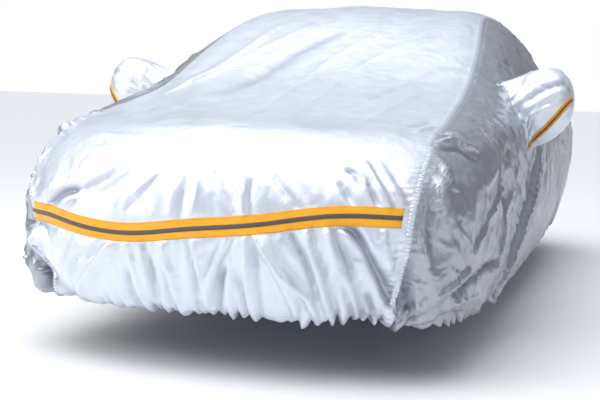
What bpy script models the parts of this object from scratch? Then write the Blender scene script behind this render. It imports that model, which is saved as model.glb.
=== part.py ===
"""Fitted car cover, drawn over the form of a saloon car, as thin sewn panels.

Every panel is one closed solid of cloth, CLOTH thick.  All of them share one grid that is laid over the
form of the covered car, so neighbouring panels meet edge to edge with SEAM_GAP between them, and the
strips that are sewn on top follow the facets below them.

Frame: metres, +Z up, +X to the car's left, -Y to its front.  The tables are in the car's own place
(ground at 0, nose at 0) and are moved so that the origin is the point that carries the roof.
"""

from collections import namedtuple

import bpy
import numpy as np
from mathutils import Vector
from mathutils.bvhtree import BVHTree

# ---------------------------------------------------------------------------- driving dimensions
CLOTH = 0.002            # cloth with its soft backing
TAPE = 0.001             # woven tape of the bands
STRIPE = 0.0007          # dark stripe on the tapes
SEAM_GAP = 0.0004        # between pieces sewn edge to edge
LAY_GAP = 0.0003         # between pieces sewn on top of each other

REST_BACK = 2.62         # the roof's highest point, back from the nose
REST_HEIGHT = 1.486      # and above the ground
HEM_TURN = 0.045         # width of the elastic hem that is turned in
TURN_RISE = 0.6          # how far the turned hem rises, for each metre that it goes in
FULL_TURN = 0.20         # a side this high has the whole turned hem; a lower one has less
BELLY = 0.044            # how far the sides stand out between shoulder and hem
BELLY_SHARES = (0.38, 0.75)  # where, from shoulder to hem
FULL_RIB = 0.70          # rib length from which the sides have their full belly

SEAM = 1.0               # the centre panel's edges, across the form
ASKEW = 0.13             # the cover sits askew: its right front seam is this much further out
ASKEW_ROWS = (0.90, 1.75)    # along the form: from the first to the second the seam comes back
SPLIT = 3.42             # upright seam between front and rear side panels, along the form
SLIT_TOP = 1.86          # across the form: below this the upright seam is open
SLIT_GAP = 0.009         # half the opening of the slit at the hem

BAND_ROWS = (0.450, 0.477, 0.493, 0.520)     # along the form: band edge, stripe edges, band edge
GATHER_WIDTH = 0.013     # half the width of the gathered corner strips
GATHER_TOP = 0.80        # along the form: the gathered strips run from the hem to here
GATHER_REACH = 0.12      # across the form: the most that half a strip may take up
CALM_REACH = 0.06        # across the form: the folds die out this far from a seam
POCKET_BAND = 0.036      # width of the tape on the mirror pockets
POCKET_STRIPE = 0.010
POCKET_MOUTH = 0.012     # how far the pocket's mouth reaches inside the side panel
POCKET_COLLAR = 0.004    # and how far it stands straight out of it

# ---------------------------------------------------------------------------- the covered form
# One row for each station from the front hem, over the roof, to the rear hem.  top is on the centre line,
# seam at the left edge of the roof panel, shoulder where the side turns down, hem at the lower edge.
Station = namedtuple("Station", "name top_y top_z seam_x seam_y seam_z shoulder_x shoulder_y shoulder_z "
                     "hem_x hem_y hem_z")
STATIONS = [
    Station("turn_in", 0.160, 0.262, 0.560, 0.275, 0.262, 0.580, 0.290, 0.262, 0.600, 0.315, 0.262),
    Station("hem", 0.070, 0.236, 0.628, 0.185, 0.232, 0.700, 0.215, 0.232, 0.735, 0.262, 0.232),
    Station("apron", 0.018, 0.350, 0.668, 0.150, 0.350, 0.785, 0.220, 0.335, 0.800, 0.350, 0.218),
    Station("bumper", 0.000, 0.480, 0.695, 0.140, 0.480, 0.825, 0.255, 0.455, 0.828, 0.450, 0.212),
    Station("band", 0.004, 0.610, 0.710, 0.158, 0.610, 0.852, 0.305, 0.575, 0.842, 0.570, 0.210),
    Station("nose", 0.040, 0.745, 0.720, 0.230, 0.735, 0.868, 0.410, 0.690, 0.846, 0.700, 0.208),
    Station("lip", 0.150, 0.860, 0.722, 0.385, 0.840, 0.878, 0.590, 0.785, 0.850, 0.860, 0.207),
    Station("bonnet", 0.480, 0.932, 0.715, 0.640, 0.908, 0.882, 0.840, 0.855, 0.852, 1.060, 0.207),
    Station("scuttle", 0.880, 0.992, 0.702, 0.980, 0.975, 0.884, 1.140, 0.910, 0.856, 1.290, 0.208),
    Station("screen_foot", 1.270, 1.098, 0.692, 1.330, 1.075, 0.885, 1.430, 0.950, 0.858, 1.530, 0.210),
    Station("screen", 1.660, 1.272, 0.664, 1.720, 1.238, 0.885, 1.760, 0.965, 0.860, 1.800, 0.212),
    Station("header", 2.100, 1.436, 0.608, 2.170, 1.395, 0.883, 2.130, 0.970, 0.860, 2.120, 0.215),
    Station("roof", 2.620, 1.486, 0.584, 2.640, 1.434, 0.880, 2.580, 0.975, 0.860, 2.560, 0.222),
    Station("rear_header", 3.150, 1.440, 0.575, 3.120, 1.392, 0.878, 3.030, 0.975, 0.860, 2.980, 0.245),
    Station("rear_window", 3.620, 1.275, 0.600, 3.550, 1.240, 0.874, 3.440, 0.975, 0.858, 3.390, 0.280),
    Station("boot_front", 4.000, 1.120, 0.640, 3.910, 1.095, 0.868, 3.790, 0.955, 0.854, 3.720, 0.310),
    Station("boot", 4.330, 1.050, 0.670, 4.210, 1.020, 0.860, 4.060, 0.905, 0.846, 3.980, 0.326),
    Station("boot_lip", 4.580, 0.990, 0.680, 4.420, 0.955, 0.845, 4.260, 0.825, 0.832, 4.150, 0.328),
    Station("tail", 4.690, 0.850, 0.690, 4.530, 0.830, 0.825, 4.400, 0.720, 0.812, 4.280, 0.322),
    Station("rear_bumper", 4.720, 0.655, 0.690, 4.580, 0.645, 0.790, 4.480, 0.580, 0.785, 4.370, 0.312),
    Station("rear_apron", 4.705, 0.460, 0.665, 4.560, 0.455, 0.745, 4.500, 0.435, 0.745, 4.430, 0.300),
    Station("rear_hem", 4.645, 0.290, 0.625, 4.510, 0.288, 0.665, 4.490, 0.288, 0.695, 4.450, 0.292),
    Station("rear_turn_in", 4.560, 0.315, 0.560, 4.425, 0.315, 0.580, 4.410, 0.315, 0.600, 4.390, 0.315),
]
MID_SPAN = 0.60          # an extra point of the centre panel: this share of the way out to the seam
MID_DROP = 0.30          # and this share of the way down and back to it
CHORD_POWER = 0.75       # spacing of the spline's knots: 1 is chord length
SPINE = (0.75, 3.95)     # the ends of the line that the sides stand out from

# The cloth of the front has sunk unevenly between the corners: how far, across the form.
Sag = namedtuple("Sag", "across depth")
SAGS = [
    Sag(-1.60, 0.000), Sag(-1.13, 0.066), Sag(-0.92, 0.068), Sag(-0.73, 0.087), Sag(-0.36, 0.100),
    Sag(-0.10, 0.073), Sag(0.26, 0.040), Sag(0.60, 0.000), Sag(1.00, 0.002), Sag(1.50, 0.000),
]
SAG_ROW = 0.485          # where along the form the cloth has sunk most
SAG_REACH = 0.28

# Main folds: from one place to another, along and across the form.  A height below 0 is a trough.
Fold = namedtuple("Fold", "name along across along_end across_end height width")
FOLDS = [
    Fold("apron_diagonal", 0.43, 0.22, 0.14, 0.53, 0.020, 0.055),
    Fold("apron_diagonal_shade", 0.41, 0.37, 0.12, 0.64, -0.016, 0.055),
    Fold("corner_pleat", 0.46, 0.66, 0.18, 0.93, -0.024, 0.055),
    Fold("corner_pleat_crest", 0.43, 0.82, 0.14, 0.90, 0.014, 0.045),
    Fold("apron_mid_fold", 0.40, 0.00, 0.10, -0.04, 0.014, 0.055),
    Fold("apron_mid_trough", 0.40, -0.17, 0.10, -0.22, -0.014, 0.055),
    Fold("apron_right_fold", 0.38, -0.36, 0.10, -0.40, 0.012, 0.055),
    Fold("apron_right_trough", 0.38, -0.55, 0.10, -0.55, -0.012, 0.055),
    Fold("apron_right_facet", 0.36, -0.76, 0.10, -0.68, 0.016, 0.060),
    Fold("right_corner_trough", 0.42, -1.08, 0.22, -0.84, -0.018, 0.055),
    Fold("right_corner_tuck", 0.55, -1.05, 0.57, -0.60, -0.020, 0.045),
    Fold("nose_fold", 0.72, 0.06, 0.54, 0.20, -0.010, 0.050),
    Fold("nose_crest", 0.68, 0.26, 0.54, 0.42, 0.009, 0.050),
    Fold("nose_corner_fold", 0.74, 0.66, 0.56, 0.90, -0.013, 0.055),
    Fold("screen_crease", 1.55, -0.86, 2.72, -0.42, 0.012, 0.080),
    Fold("screen_shade", 1.50, -0.45, 2.72, 0.04, -0.013, 0.100),
    Fold("bonnet_crease", 0.85, -0.02, 2.66, 0.30, 0.010, 0.080),
    Fold("left_side_crest", 3.05, 1.52, 1.20, 1.93, 0.028, 0.075),
    Fold("left_side_trough", 2.30, 1.52, 0.75, 1.80, -0.024, 0.075),
    Fold("left_corner_trough", 0.28, 1.66, 1.20, 1.76, -0.018, 0.060),
    Fold("left_pocket_fold", 1.70, 1.40, 0.55, 1.56, 0.016, 0.070),
    Fold("right_side_crest", 2.75, -1.54, 1.15, -1.91, 0.022, 0.075),
    Fold("right_side_trough", 2.05, -1.55, 0.75, -1.82, -0.018, 0.075),
    Fold("rear_side_fold_left", 4.25, 1.48, 5.25, 1.90, -0.016, 0.090),
    Fold("rear_side_fold_right", 4.25, -1.48, 5.25, -1.90, -0.016, 0.090),
    Fold("rear_apron_fold", 5.70, -0.18, 6.08, -0.28, -0.014, 0.070),
    Fold("rear_apron_crest", 5.70, 0.28, 6.08, 0.36, 0.014, 0.070),
]
FOLD_STEPS = 12          # points along a fold that distances are taken to
FOLD_END = 0.02          # share of a fold at each end in which it keeps its least height
FOLD_EASE = 0.6          # how quickly it rises from its ends: less is quicker

# ---------------------------------------------------------------------------- the grid
FRONT_ROWS = (0.0, 0.094, 0.160, 0.230, 0.300, 0.370, 0.415, *BAND_ROWS, 0.58, 0.65, 0.72, GATHER_TOP)
UPPER_ROWS = (0.92, 1.08, 1.26, 1.44, 1.62, 1.80, 1.98, 2.16, 2.34, 2.52, 2.70, 2.95, 3.20, SPLIT)
REAR_ROWS = (3.66, 3.90, 4.14, 4.36, 4.60, 4.80, 5.00, 5.16, 5.32, 5.46, 5.60, 5.77, 5.99)
LAST_ROWS = (0.089, 0.0)     # how far before the rear end of the form the last two rows are
STRETCH_STEP = 0.04      # across the form: what the cloth's width is measured over
CENTRE_COLUMNS = 18      # between the gathered strips
RIB_SHARES = (0.10, 0.22, 0.34, 0.47, 0.62, 0.80, 1.0)   # columns of a side panel, seam to hem
RIGHT_SEAM = len(RIB_SHARES) + 2                     # the seams' columns, counted from the right hem
LEFT_SEAM = RIGHT_SEAM + CENTRE_COLUMNS + 2
LAST_COLUMN = LEFT_SEAM + RIGHT_SEAM

# ---------------------------------------------------------------------------- mirror pockets
# From the mouth to the tip: how far out, the section's middle and half sizes, and where the tape runs
# round it (0 faces front, 90 is on top).  The mouth itself follows the side panel.
PocketRing = namedtuple("PocketRing", "out back up half_depth half_height tape_angle")
POCKET_RINGS = [
    PocketRing(0.870, 1.585, 0.945, 0.122, 0.148, -64),
    PocketRing(0.935, 1.575, 0.975, 0.124, 0.166, -54),
    PocketRing(0.985, 1.565, 0.992, 0.118, 0.164, -42),
    PocketRing(1.035, 1.560, 1.003, 0.107, 0.147, -28),
    PocketRing(1.075, 1.560, 1.010, 0.090, 0.120, -12),
    PocketRing(1.102, 1.565, 1.014, 0.063, 0.083, 4),
    PocketRing(1.116, 1.570, 1.016, 0.028, 0.038, 14),
]
POCKET_POWER = 2.4       # squareness of a pocket's section
POCKET_SIDES = 18        # columns of a pocket besides those at the tape's edges
WIDEST_TAPE = 0.55       # the most of a pocket's section, in radians, that half the tape may take
CUTTER_SIDES = 40        # of the body that cuts the pocket's hole
CUTTER_REACH = (0.50, 1.30)  # how far out from the car's middle it begins and ends
RAY_START = 1.4          # how far out the search for the side panel starts

# ---------------------------------------------------------------------------- finishes
Finish = namedtuple("Finish", "colour roughness metallic")
SILVER_TOP = Finish((0.72, 0.77, 0.86, 1), 0.35, 0.6)
SILVER_SIDE = Finish((0.55, 0.57, 0.62, 1), 0.40, 0.6)
MARKER_YELLOW = Finish((0.98, 0.45, 0.01, 1), 0.60, 0.0)
MARKER_DARK = Finish((0.06, 0.05, 0.04, 1), 0.45, 0.0)


class Curve:
    """Natural cubic spline through rows of values."""

    def __init__(self, knots, values):
        self.knots = np.asarray(knots, float)
        self.values = np.asarray(values, float)
        count = len(self.knots)
        self.steps = np.diff(self.knots)
        system = np.eye(count)
        right = np.zeros_like(self.values)
        for i in range(1, count - 1):
            before, after = self.steps[i - 1], self.steps[i]
            system[i, i - 1:i + 2] = before, 2 * (before + after), after
            slope_after = (self.values[i + 1] - self.values[i]) / after
            slope_before = (self.values[i] - self.values[i - 1]) / before
            right[i] = 6 * (slope_after - slope_before)
        self.bends = np.linalg.solve(system, right)

    def at(self, places):
        """Values at the places, one row for each."""
        places = np.asarray(places, float)
        i = np.clip(np.searchsorted(self.knots, places, side="right") - 1, 0, len(self.steps) - 1)
        step = self.steps[i][:, None]
        before = (self.knots[i + 1] - places)[:, None] / step
        after = 1 - before
        line = before * self.values[i] + after * self.values[i + 1]
        bend = (before ** 3 - before) * self.bends[i] + (after ** 3 - after) * self.bends[i + 1]
        return line + bend * step ** 2 / 6


def station_curve():
    """The station table as one smooth curve; its parameter is the length along the centre line."""
    rows = np.array([station[1:] for station in STATIONS], float)
    lengths = np.linalg.norm(np.diff(rows[:, :2], axis=0), axis=1)
    return Curve(np.concatenate([[0], np.cumsum(lengths)]), rows)


def away_from_spine(point):
    """Level direction from the car's middle line out to a point."""
    middle = np.array([0, np.clip(point[1], *SPINE), point[2]])
    out = point - middle
    return out / max(np.linalg.norm(out), 1e-6)


def half_section(row):
    """Points of one section from the centre line to the turned-in hem, on the left side."""
    top = np.array([0, *row[:2]])
    seam, shoulder, hem = row[2:5], row[5:8], row[8:11]
    mid = top + (seam - top) * (MID_SPAN, MID_DROP, MID_DROP)
    rib = np.linalg.norm(shoulder - hem)
    belly = BELLY * min(1, rib / FULL_RIB)
    side = []
    for share in BELLY_SHARES:
        point = shoulder + (hem - shoulder) * share
        side.append(point + away_from_spine(point) * belly)
    return [top, mid, seam, shoulder, *side, hem]


class Form:
    """The surface of the covered car: along from front hem to rear hem, across from -2 to 2."""

    def __init__(self):
        self.stations = station_curve()
        self.length = self.stations.knots[-1]
        self.sag = Curve([sag.across for sag in SAGS], [[sag.depth] for sag in SAGS])

    def sunk(self, along, across):
        """Where along the bare form the cloth of this place has sunk to."""
        depth = self.sag.at([across])[0, 0] if abs(across) < SAGS[-1].across + 0.1 else 0
        return max(along - depth * np.exp(-((along - SAG_ROW) / SAG_REACH) ** 2), 0)

    def section(self, along):
        """Spline across the form, with the knots of right hem, right seam, top, left seam, left hem."""
        half = half_section(self.stations.at([along])[0])
        points = np.array([p * (-1, 1, 1) for p in half[:0:-1]] + half)
        chords = np.linalg.norm(np.diff(points, axis=0), axis=1) ** CHORD_POWER
        knots = np.concatenate([[0], np.cumsum(chords)])
        top = len(half) - 1
        return Curve(knots, points), knots[[0, top - 2, top, top + 2, -1]]

    def point(self, along, across):
        """A point of the form."""
        curve, ticks = self.section(self.sunk(along, across))
        return curve.at([np.interp(across, (-2, -1, 0, 1, 2), ticks)])[0]


def folded(form, points):
    """How far each point is pushed out by the folds near it."""
    push = np.zeros(points.shape[:-1])
    for fold in FOLDS:
        shares = np.linspace(0, 1, FOLD_STEPS)
        line = np.array([form.point(fold.along + share * (fold.along_end - fold.along),
                                    fold.across + share * (fold.across_end - fold.across))
                         for share in shares])
        starts, spans = line[:-1], np.diff(line, axis=0)
        offsets = points[..., None, :] - starts
        along = np.clip((offsets * spans).sum(-1) / (spans ** 2).sum(-1), 0, 1)
        gaps = np.linalg.norm(offsets - along[..., None] * spans, axis=-1)
        nearest = gaps.argmin(-1)
        reach = np.take_along_axis(along, nearest[..., None], -1)[..., 0]
        share = np.clip((nearest + reach) / (FOLD_STEPS - 1), FOLD_END, 1 - FOLD_END)
        ease = np.sin(np.pi * share) ** FOLD_EASE
        push += fold.height * ease * np.exp(-(gaps.min(-1) / fold.width) ** 2)
    return push


def unit(vectors):
    """Vectors brought to length 1."""
    return vectors / np.maximum(np.linalg.norm(vectors, axis=-1, keepdims=True), 1e-12)


class Grid:
    """Points over the whole cover, rows from front to rear and columns from right hem to left hem."""

    def __init__(self, form):
        self.rows = [*FRONT_ROWS, *UPPER_ROWS, *REAR_ROWS, *(form.length - before for before in LAST_ROWS)]
        across = np.array([self.columns(form, along) for along in self.rows])
        self.columns_across = across
        flat = np.array([[form.point(along, place) for place in row]
                         for along, row in zip(self.rows, across[:, 1:-1])])
        flat = self.with_turned_hems(flat)
        self.points = flat
        normals = self.normals()
        self.points = flat + normals * (folded(form, flat) * self.calm_seams())[..., None]
        self.normal = self.normals()
        self.points = self.points - (0, REST_BACK, REST_HEIGHT)

    def columns(self, form, along):
        """Places across the form of one row's points, the turned hems as -2.1 and 2.1."""
        seam_right = -SEAM - ASKEW * np.interp(along, ASKEW_ROWS, (1, 0))
        left = self.rib_columns(form, along, SEAM, 2)
        right = self.rib_columns(form, along, seam_right, -2)
        width = GATHER_WIDTH / self.stretch(form, along, SEAM - STRETCH_STEP)
        centre = np.linspace(seam_right + width, SEAM - width, CENTRE_COLUMNS + 1)
        return [-2.1, *right[::-1], seam_right, *centre, SEAM, *left, 2.1]

    def rib_columns(self, form, along, seam, hem):
        """Columns of a side panel beyond its seam: the gathered strip's edge, then the shares to the hem."""
        side = np.sign(hem)
        width = min(GATHER_WIDTH / self.stretch(form, along, seam + STRETCH_STEP * side), GATHER_REACH)
        edge = seam + side * width
        return [edge] + [edge + (hem - edge) * share for share in RIB_SHARES]

    @staticmethod
    def stretch(form, along, across):
        """Metres of cloth for each unit across the form, at one place."""
        step = STRETCH_STEP / 2
        ends = form.point(along, across + step), form.point(along, across - step)
        return np.linalg.norm(ends[0] - ends[1]) / STRETCH_STEP

    @staticmethod
    def with_turned_hems(flat):
        """Adds the columns of the turned-in side hems to the left and right."""
        sides = []
        for hem, above in ((flat[:, 0], flat[:, 3]), (flat[:, -1], flat[:, -4])):
            rib = np.linalg.norm(above - hem, axis=1)
            width = HEM_TURN * np.minimum(1, rib / FULL_TURN)
            inward = -np.array([away_from_spine(point) for point in hem])
            sides.append(hem + inward * width[:, None] + np.array([0, 0, TURN_RISE]) * width[:, None])
        return np.concatenate([sides[0][:, None], flat, sides[1][:, None]], axis=1)

    def calm_seams(self):
        """1 in the panels, falling to 0 at the seams, where the cloth is held."""
        across = self.columns_across
        near = np.minimum(abs(across - across[:, [LEFT_SEAM]]), abs(across - across[:, [RIGHT_SEAM]]))
        return np.clip(near / CALM_REACH, 0, 1) * (abs(across) <= 2)

    def normals(self):
        """Outward normals of the grid's points."""
        along = np.gradient(self.points, axis=0)
        across = np.gradient(self.points, axis=1)
        return unit(np.cross(across, along))

    def row(self, along):
        """Index of the row at a place along the form."""
        return int(np.argmin(abs(np.array(self.rows) - along)))

    def block(self, rows, columns, lift=0.0):
        """Points of a rectangle of the grid, lifted off the form, with its sides pulled in by half a seam."""
        window = (slice(rows[0], rows[1] + 1), slice(columns[0], columns[1] + 1))
        points = self.points[window] + self.normal[window] * lift
        return pulled_in(points), self.normal[window]


def pulled_in(points, edges="left right"):
    """Points with the named edges of their grid moved in by half of SEAM_GAP."""
    points = points.copy()
    if "left" in edges:
        points[:, 0] += unit(points[:, 1] - points[:, 0]) * SEAM_GAP / 2
        points[:, -1] += unit(points[:, -2] - points[:, -1]) * SEAM_GAP / 2
    if "front" in edges:
        points[0] += unit(points[1] - points[0]) * SEAM_GAP / 2
    if "rear" in edges:
        points[-1] += unit(points[-2] - points[-1]) * SEAM_GAP / 2
    return points


def material(name, finish):
    """A Principled BSDF material of one finish."""
    made = bpy.data.materials.new(name)
    made.use_nodes = True
    shader = made.node_tree.nodes["Principled BSDF"]
    shader.inputs["Base Color"].default_value = finish.colour
    shader.inputs["Roughness"].default_value = finish.roughness
    shader.inputs["Metallic"].default_value = finish.metallic
    made.diffuse_color = finish.colour
    return made


def sheet(name, inner, outer, finish, ring=False, capped=False):
    """One closed sheet between two grids.  A ring closes round, and a capped one at its last row too."""
    rows, columns = inner.shape[:2]
    count = rows * columns
    vertices = [*inner.reshape(-1, 3), *outer.reshape(-1, 3)]
    spans = columns if ring else columns - 1
    faces = []

    def quad(a, b, c, d):
        faces.extend(((a, b, c), (a, c, d)))

    for r in range(rows - 1):
        for k in range(spans):
            a, b = r * columns + k, r * columns + (k + 1) % columns
            c, d = b + columns, a + columns
            faces.extend(((a, d, c), (a, c, b)))
            faces.extend(((a + count, c + count, d + count), (a + count, b + count, c + count)))
    for k in range(spans):
        a, b = k, (k + 1) % columns
        quad(a, b, b + count, a + count)
        if not capped:
            a, b = a + count - columns, b + count - columns
            quad(a, a + count, b + count, b)
    if not ring:
        for r in range(rows - 1):
            a, b = r * columns, (r + 1) * columns
            quad(b, a, a + count, b + count)
            a, b = a + columns - 1, b + columns - 1
            quad(b, b + count, a + count, a)
    if capped:
        for shell, turned in ((0, False), (count, True)):
            last = [shell + count - columns + k for k in range(columns)]
            vertices.append(np.mean([vertices[i] for i in last], axis=0))
            for k in range(columns):
                pair = (last[k], last[(k + 1) % columns])
                faces.append((len(vertices) - 1, *(pair if turned else pair[::-1])))
    mesh = bpy.data.meshes.new(name)
    mesh.from_pydata([tuple(v) for v in vertices], [], faces)
    mesh.materials.append(material(name, finish))
    mesh.validate()
    mesh.shade_smooth()
    mesh.set_sharp_from_angle(angle=0.7)
    made = bpy.data.objects.new(name, mesh)
    bpy.context.collection.objects.link(made)
    return made


def laid(name, points, normals, thickness, finish):
    """A sheet whose inner face is the given grid."""
    return sheet(name, points, points + normals * thickness, finish)


def centre_panel(grid, columns):
    """The panel from the front hem over the roof to the rear hem."""
    points, normals = grid.block((0, len(grid.rows) - 1), columns)
    laid("centre_panel", points, normals, CLOTH, SILVER_TOP)


def side_panels(grid, side, seam, turn):
    """Front and rear side panels of one side, split by the upright seam; returns the front one."""
    split = grid.row(SPLIT)
    columns = (min(seam, turn), max(seam, turn))
    made = []
    for place, rows, edge in (("front", (0, split), "rear"), ("rear", (split, len(grid.rows) - 1), "front")):
        points, normals = grid.block(rows, columns)
        points = pulled_in(points, edge)
        opened_slit(grid, points, columns, edge)
        made.append(laid(f"side_{place}_{side}", points, normals, CLOTH, SILVER_SIDE))
    return made[0]


def opened_slit(grid, points, columns, edge):
    """Parts the upright seam towards the hem."""
    window = slice(columns[0], columns[1] + 1)
    across = abs(grid.columns_across[grid.row(SPLIT), window])
    share = np.clip((across - SLIT_TOP) / (2 - SLIT_TOP), 0, 1)
    last, before = (-1, -2) if edge == "rear" else (0, 1)
    points[last] += unit(points[before] - points[last]) * (share * SLIT_GAP)[:, None]


def corner_gather(grid, side, seam):
    """The gathered strip over a front corner seam."""
    rows = (1, grid.row(GATHER_TOP))
    points, normals = grid.block(rows, (seam - 1, seam + 1), CLOTH + LAY_GAP)
    laid(f"corner_gather_{side}", points, normals, CLOTH, SILVER_TOP)


def front_band(grid, columns):
    """The marker band across the front and the dark stripe along its middle."""
    low, stripe_low, stripe_high, high = (grid.row(along) for along in BAND_ROWS)
    points, normals = grid.block((low, high), columns, CLOTH + LAY_GAP)
    laid("front_band", points, normals, TAPE, MARKER_YELLOW)
    lift = CLOTH + TAPE + 2 * LAY_GAP
    points, normals = grid.block((stripe_low, stripe_high), columns, lift)
    laid("front_band_stripe", points, normals, STRIPE, MARKER_DARK)


def superellipse(ring, angles, grow=0.0):
    """Points round one section of a pocket, as depth and height; the angle 0 faces front, 90 is on top."""
    half_depth, half_height = ring.half_depth + grow, ring.half_height + grow
    front, up = np.cos(angles), np.sin(angles)
    reach = (abs(front) ** POCKET_POWER + abs(up) ** POCKET_POWER) ** (-1 / POCKET_POWER)
    return ring.back - half_depth * front * reach, ring.up + half_height * up * reach


def pocket_angles(ring):
    """Angles of one ring's columns: the tape's two edges, its stripe's edges, then the rest evenly."""
    radius = 0.5 * (ring.half_depth + ring.half_height)
    half_tape = min(POCKET_BAND / 2 / radius, WIDEST_TAPE)
    half_stripe = half_tape * POCKET_STRIPE / POCKET_BAND
    middle = np.radians(ring.tape_angle)
    rest = np.linspace(middle + half_tape, middle - half_tape + 2 * np.pi, POCKET_SIDES + 1)[:-1]
    return np.concatenate([[middle - half_tape, middle - half_stripe, middle + half_stripe], rest])


def pocket_grid(panel, sign):
    """Points of a pocket's inner face: its mouth inside the side panel, then its rings to the tip."""
    tree = BVHTree.FromPolygons([v.co for v in panel.data.vertices],
                                [tuple(p.vertices) for p in panel.data.polygons])
    first = POCKET_RINGS[0]
    depth, height = superellipse(first, pocket_angles(first))
    mouth, collar = [], []
    for y, z in zip(depth - REST_BACK, height - REST_HEIGHT):
        start = Vector((sign * RAY_START, y, z))
        panel_out = abs(tree.ray_cast(start, Vector((-sign, 0, 0)))[0].x)
        mouth.append((panel_out - CLOTH - POCKET_MOUTH, y, z))
        collar.append((panel_out + POCKET_COLLAR, y, z))
    rows = [mouth, collar]
    for ring in POCKET_RINGS[1:]:
        depth, height = superellipse(ring, pocket_angles(ring))
        rows.append([(ring.out, y, z) for y, z in zip(depth - REST_BACK, height - REST_HEIGHT)])
    return np.array(rows)


def ring_normals(points):
    """Outward normals of a grid that closes round; the mouth's straight throat keeps them level."""
    along = np.gradient(points, axis=0)
    across = np.roll(points, -1, axis=1) - np.roll(points, 1, axis=1)
    normals = unit(np.cross(along, across))
    throat = normals[:2]
    throat[..., 0] = 0
    normals[:2] = unit(throat)
    return normals


def mirror_pocket(side, sign, panel):
    """The open bag that goes over a mirror, the tape sewn round it and the hole in the side panel."""
    points = pocket_grid(panel, sign)
    normals = ring_normals(points)
    layers = {
        "mirror_pocket": (0.0, CLOTH, SILVER_TOP, slice(None), slice(None)),
        "pocket_band": (CLOTH + LAY_GAP, TAPE, MARKER_YELLOW, slice(2, 8), slice(0, 4)),
        "pocket_stripe": (CLOTH + TAPE + 2 * LAY_GAP, STRIPE, MARKER_DARK, slice(2, 8), slice(1, 3)),
    }
    for name, (lift, thickness, finish, rows, columns) in layers.items():
        inner = points[rows, columns] + normals[rows, columns] * lift
        outer = inner + normals[rows, columns] * thickness
        whole = name == "mirror_pocket"
        if sign > 0:
            inner, outer = inner[:, ::-1], outer[:, ::-1]
        else:
            inner, outer = inner * (-1, 1, 1), outer * (-1, 1, 1)
        sheet(f"{name}_{side}", inner, outer, finish, ring=whole, capped=whole)
    cut_mirror_hole(side, sign, panel)


def cut_mirror_hole(side, sign, panel):
    """Cuts the hole for a pocket's mouth through the side panel."""
    ring = POCKET_RINGS[0]
    angles = np.linspace(0, 2 * np.pi, CUTTER_SIDES, endpoint=False)
    clearance = (ring.half_height + CLOTH) * (1 / np.cos(np.pi / CUTTER_SIDES) - 1) + SEAM_GAP
    depth, height = superellipse(ring, angles, CLOTH + clearance)
    ends = []
    for x in CUTTER_REACH:
        ends.append([(sign * x, y, z) for y, z in zip(depth - REST_BACK, height - REST_HEIGHT)])
    count = CUTTER_SIDES
    faces = [tuple(range(count)), tuple(range(2 * count - 1, count - 1, -1))]
    faces += [((k + 1) % count, k, k + count, (k + 1) % count + count) for k in range(count)]
    mesh = bpy.data.meshes.new(f"mirror_hole_{side}")
    mesh.from_pydata(ends[0] + ends[1], [], faces)
    if sign < 0:
        mesh.flip_normals()
    cutter = bpy.data.objects.new(f"mirror_hole_{side}", mesh)
    bpy.context.collection.objects.link(cutter)
    cutter.hide_render = True
    cutter.display_type = "WIRE"
    cut = panel.modifiers.new("mirror_hole", "BOOLEAN")
    cut.object = cutter
    cut.operation = "DIFFERENCE"
    cut.solver = "EXACT"


def main():
    """Builds the cover."""
    for old in list(bpy.data.objects):
        bpy.data.objects.remove(old, do_unlink=True)
    grid = Grid(Form())
    centre_panel(grid, (RIGHT_SEAM, LEFT_SEAM))
    front_band(grid, (RIGHT_SEAM + 1, LEFT_SEAM - 1))
    for side, sign, seam, turn in (("left", 1, LEFT_SEAM, LAST_COLUMN), ("right", -1, RIGHT_SEAM, 0)):
        corner_gather(grid, side, seam)
        panel = side_panels(grid, side, seam, turn)
        mirror_pocket(side, sign, panel)


main()
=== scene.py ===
"""Fitted cover of silver coated cloth for a saloon car, with its folds, seams, gathers, bands and pockets.

Metres, +Z up, +X to the car's left, -Y to its front.  The tables are in the car's own place, with the
ground and the nose at 0, and everything made from them is moved so that the roof's rest is the origin.
"""
import logging
import math
from dataclasses import dataclass, field
from enum import Enum
from typing import Iterable, NamedTuple, Optional, Sequence

import bmesh
import bpy
import numpy as np
from mathutils import Matrix, Vector
from mathutils.bvhtree import BVHTree


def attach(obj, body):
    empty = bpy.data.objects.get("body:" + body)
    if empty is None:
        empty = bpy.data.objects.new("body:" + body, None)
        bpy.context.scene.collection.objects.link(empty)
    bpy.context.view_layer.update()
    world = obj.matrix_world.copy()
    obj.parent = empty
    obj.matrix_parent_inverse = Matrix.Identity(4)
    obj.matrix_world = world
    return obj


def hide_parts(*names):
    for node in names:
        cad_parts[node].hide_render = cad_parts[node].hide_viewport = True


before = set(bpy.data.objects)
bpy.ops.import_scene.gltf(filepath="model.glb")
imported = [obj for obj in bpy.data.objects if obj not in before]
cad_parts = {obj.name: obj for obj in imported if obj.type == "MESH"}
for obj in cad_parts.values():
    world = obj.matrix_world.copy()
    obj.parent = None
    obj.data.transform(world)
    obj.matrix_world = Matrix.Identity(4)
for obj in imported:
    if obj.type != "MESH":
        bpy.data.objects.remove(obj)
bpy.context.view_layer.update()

LOG = logging.getLogger("car_cover")
Array = np.ndarray
Place = tuple[float, float]          # along and across the form

REST = np.array([0.0, 2.62, 1.486])  # the roof's rest, in the car's own place
GROUND = -1.486                      # height of the ground under the car
REAR_EDGE = 0.089                    # from the rear hem's edge to the end of its turned-in part
TURN_COLUMNS = 4                     # columns of each side hem's turned-in part
POCKET_TIP = 1.116                   # how far out the pockets reach
OUTSIDE = 1.4                        # a plane clear of the cover, from which its skin is felt for


# ---------------------------------------------------------------------------- the covered form
class Station(NamedTuple):
    """One section of the covered car: its points on the centre line, panel seam, shoulder and hem."""

    name: str
    top: tuple[float, float]
    seam: tuple[float, float, float]
    shoulder: tuple[float, float, float]
    hem: tuple[float, float, float]


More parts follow.
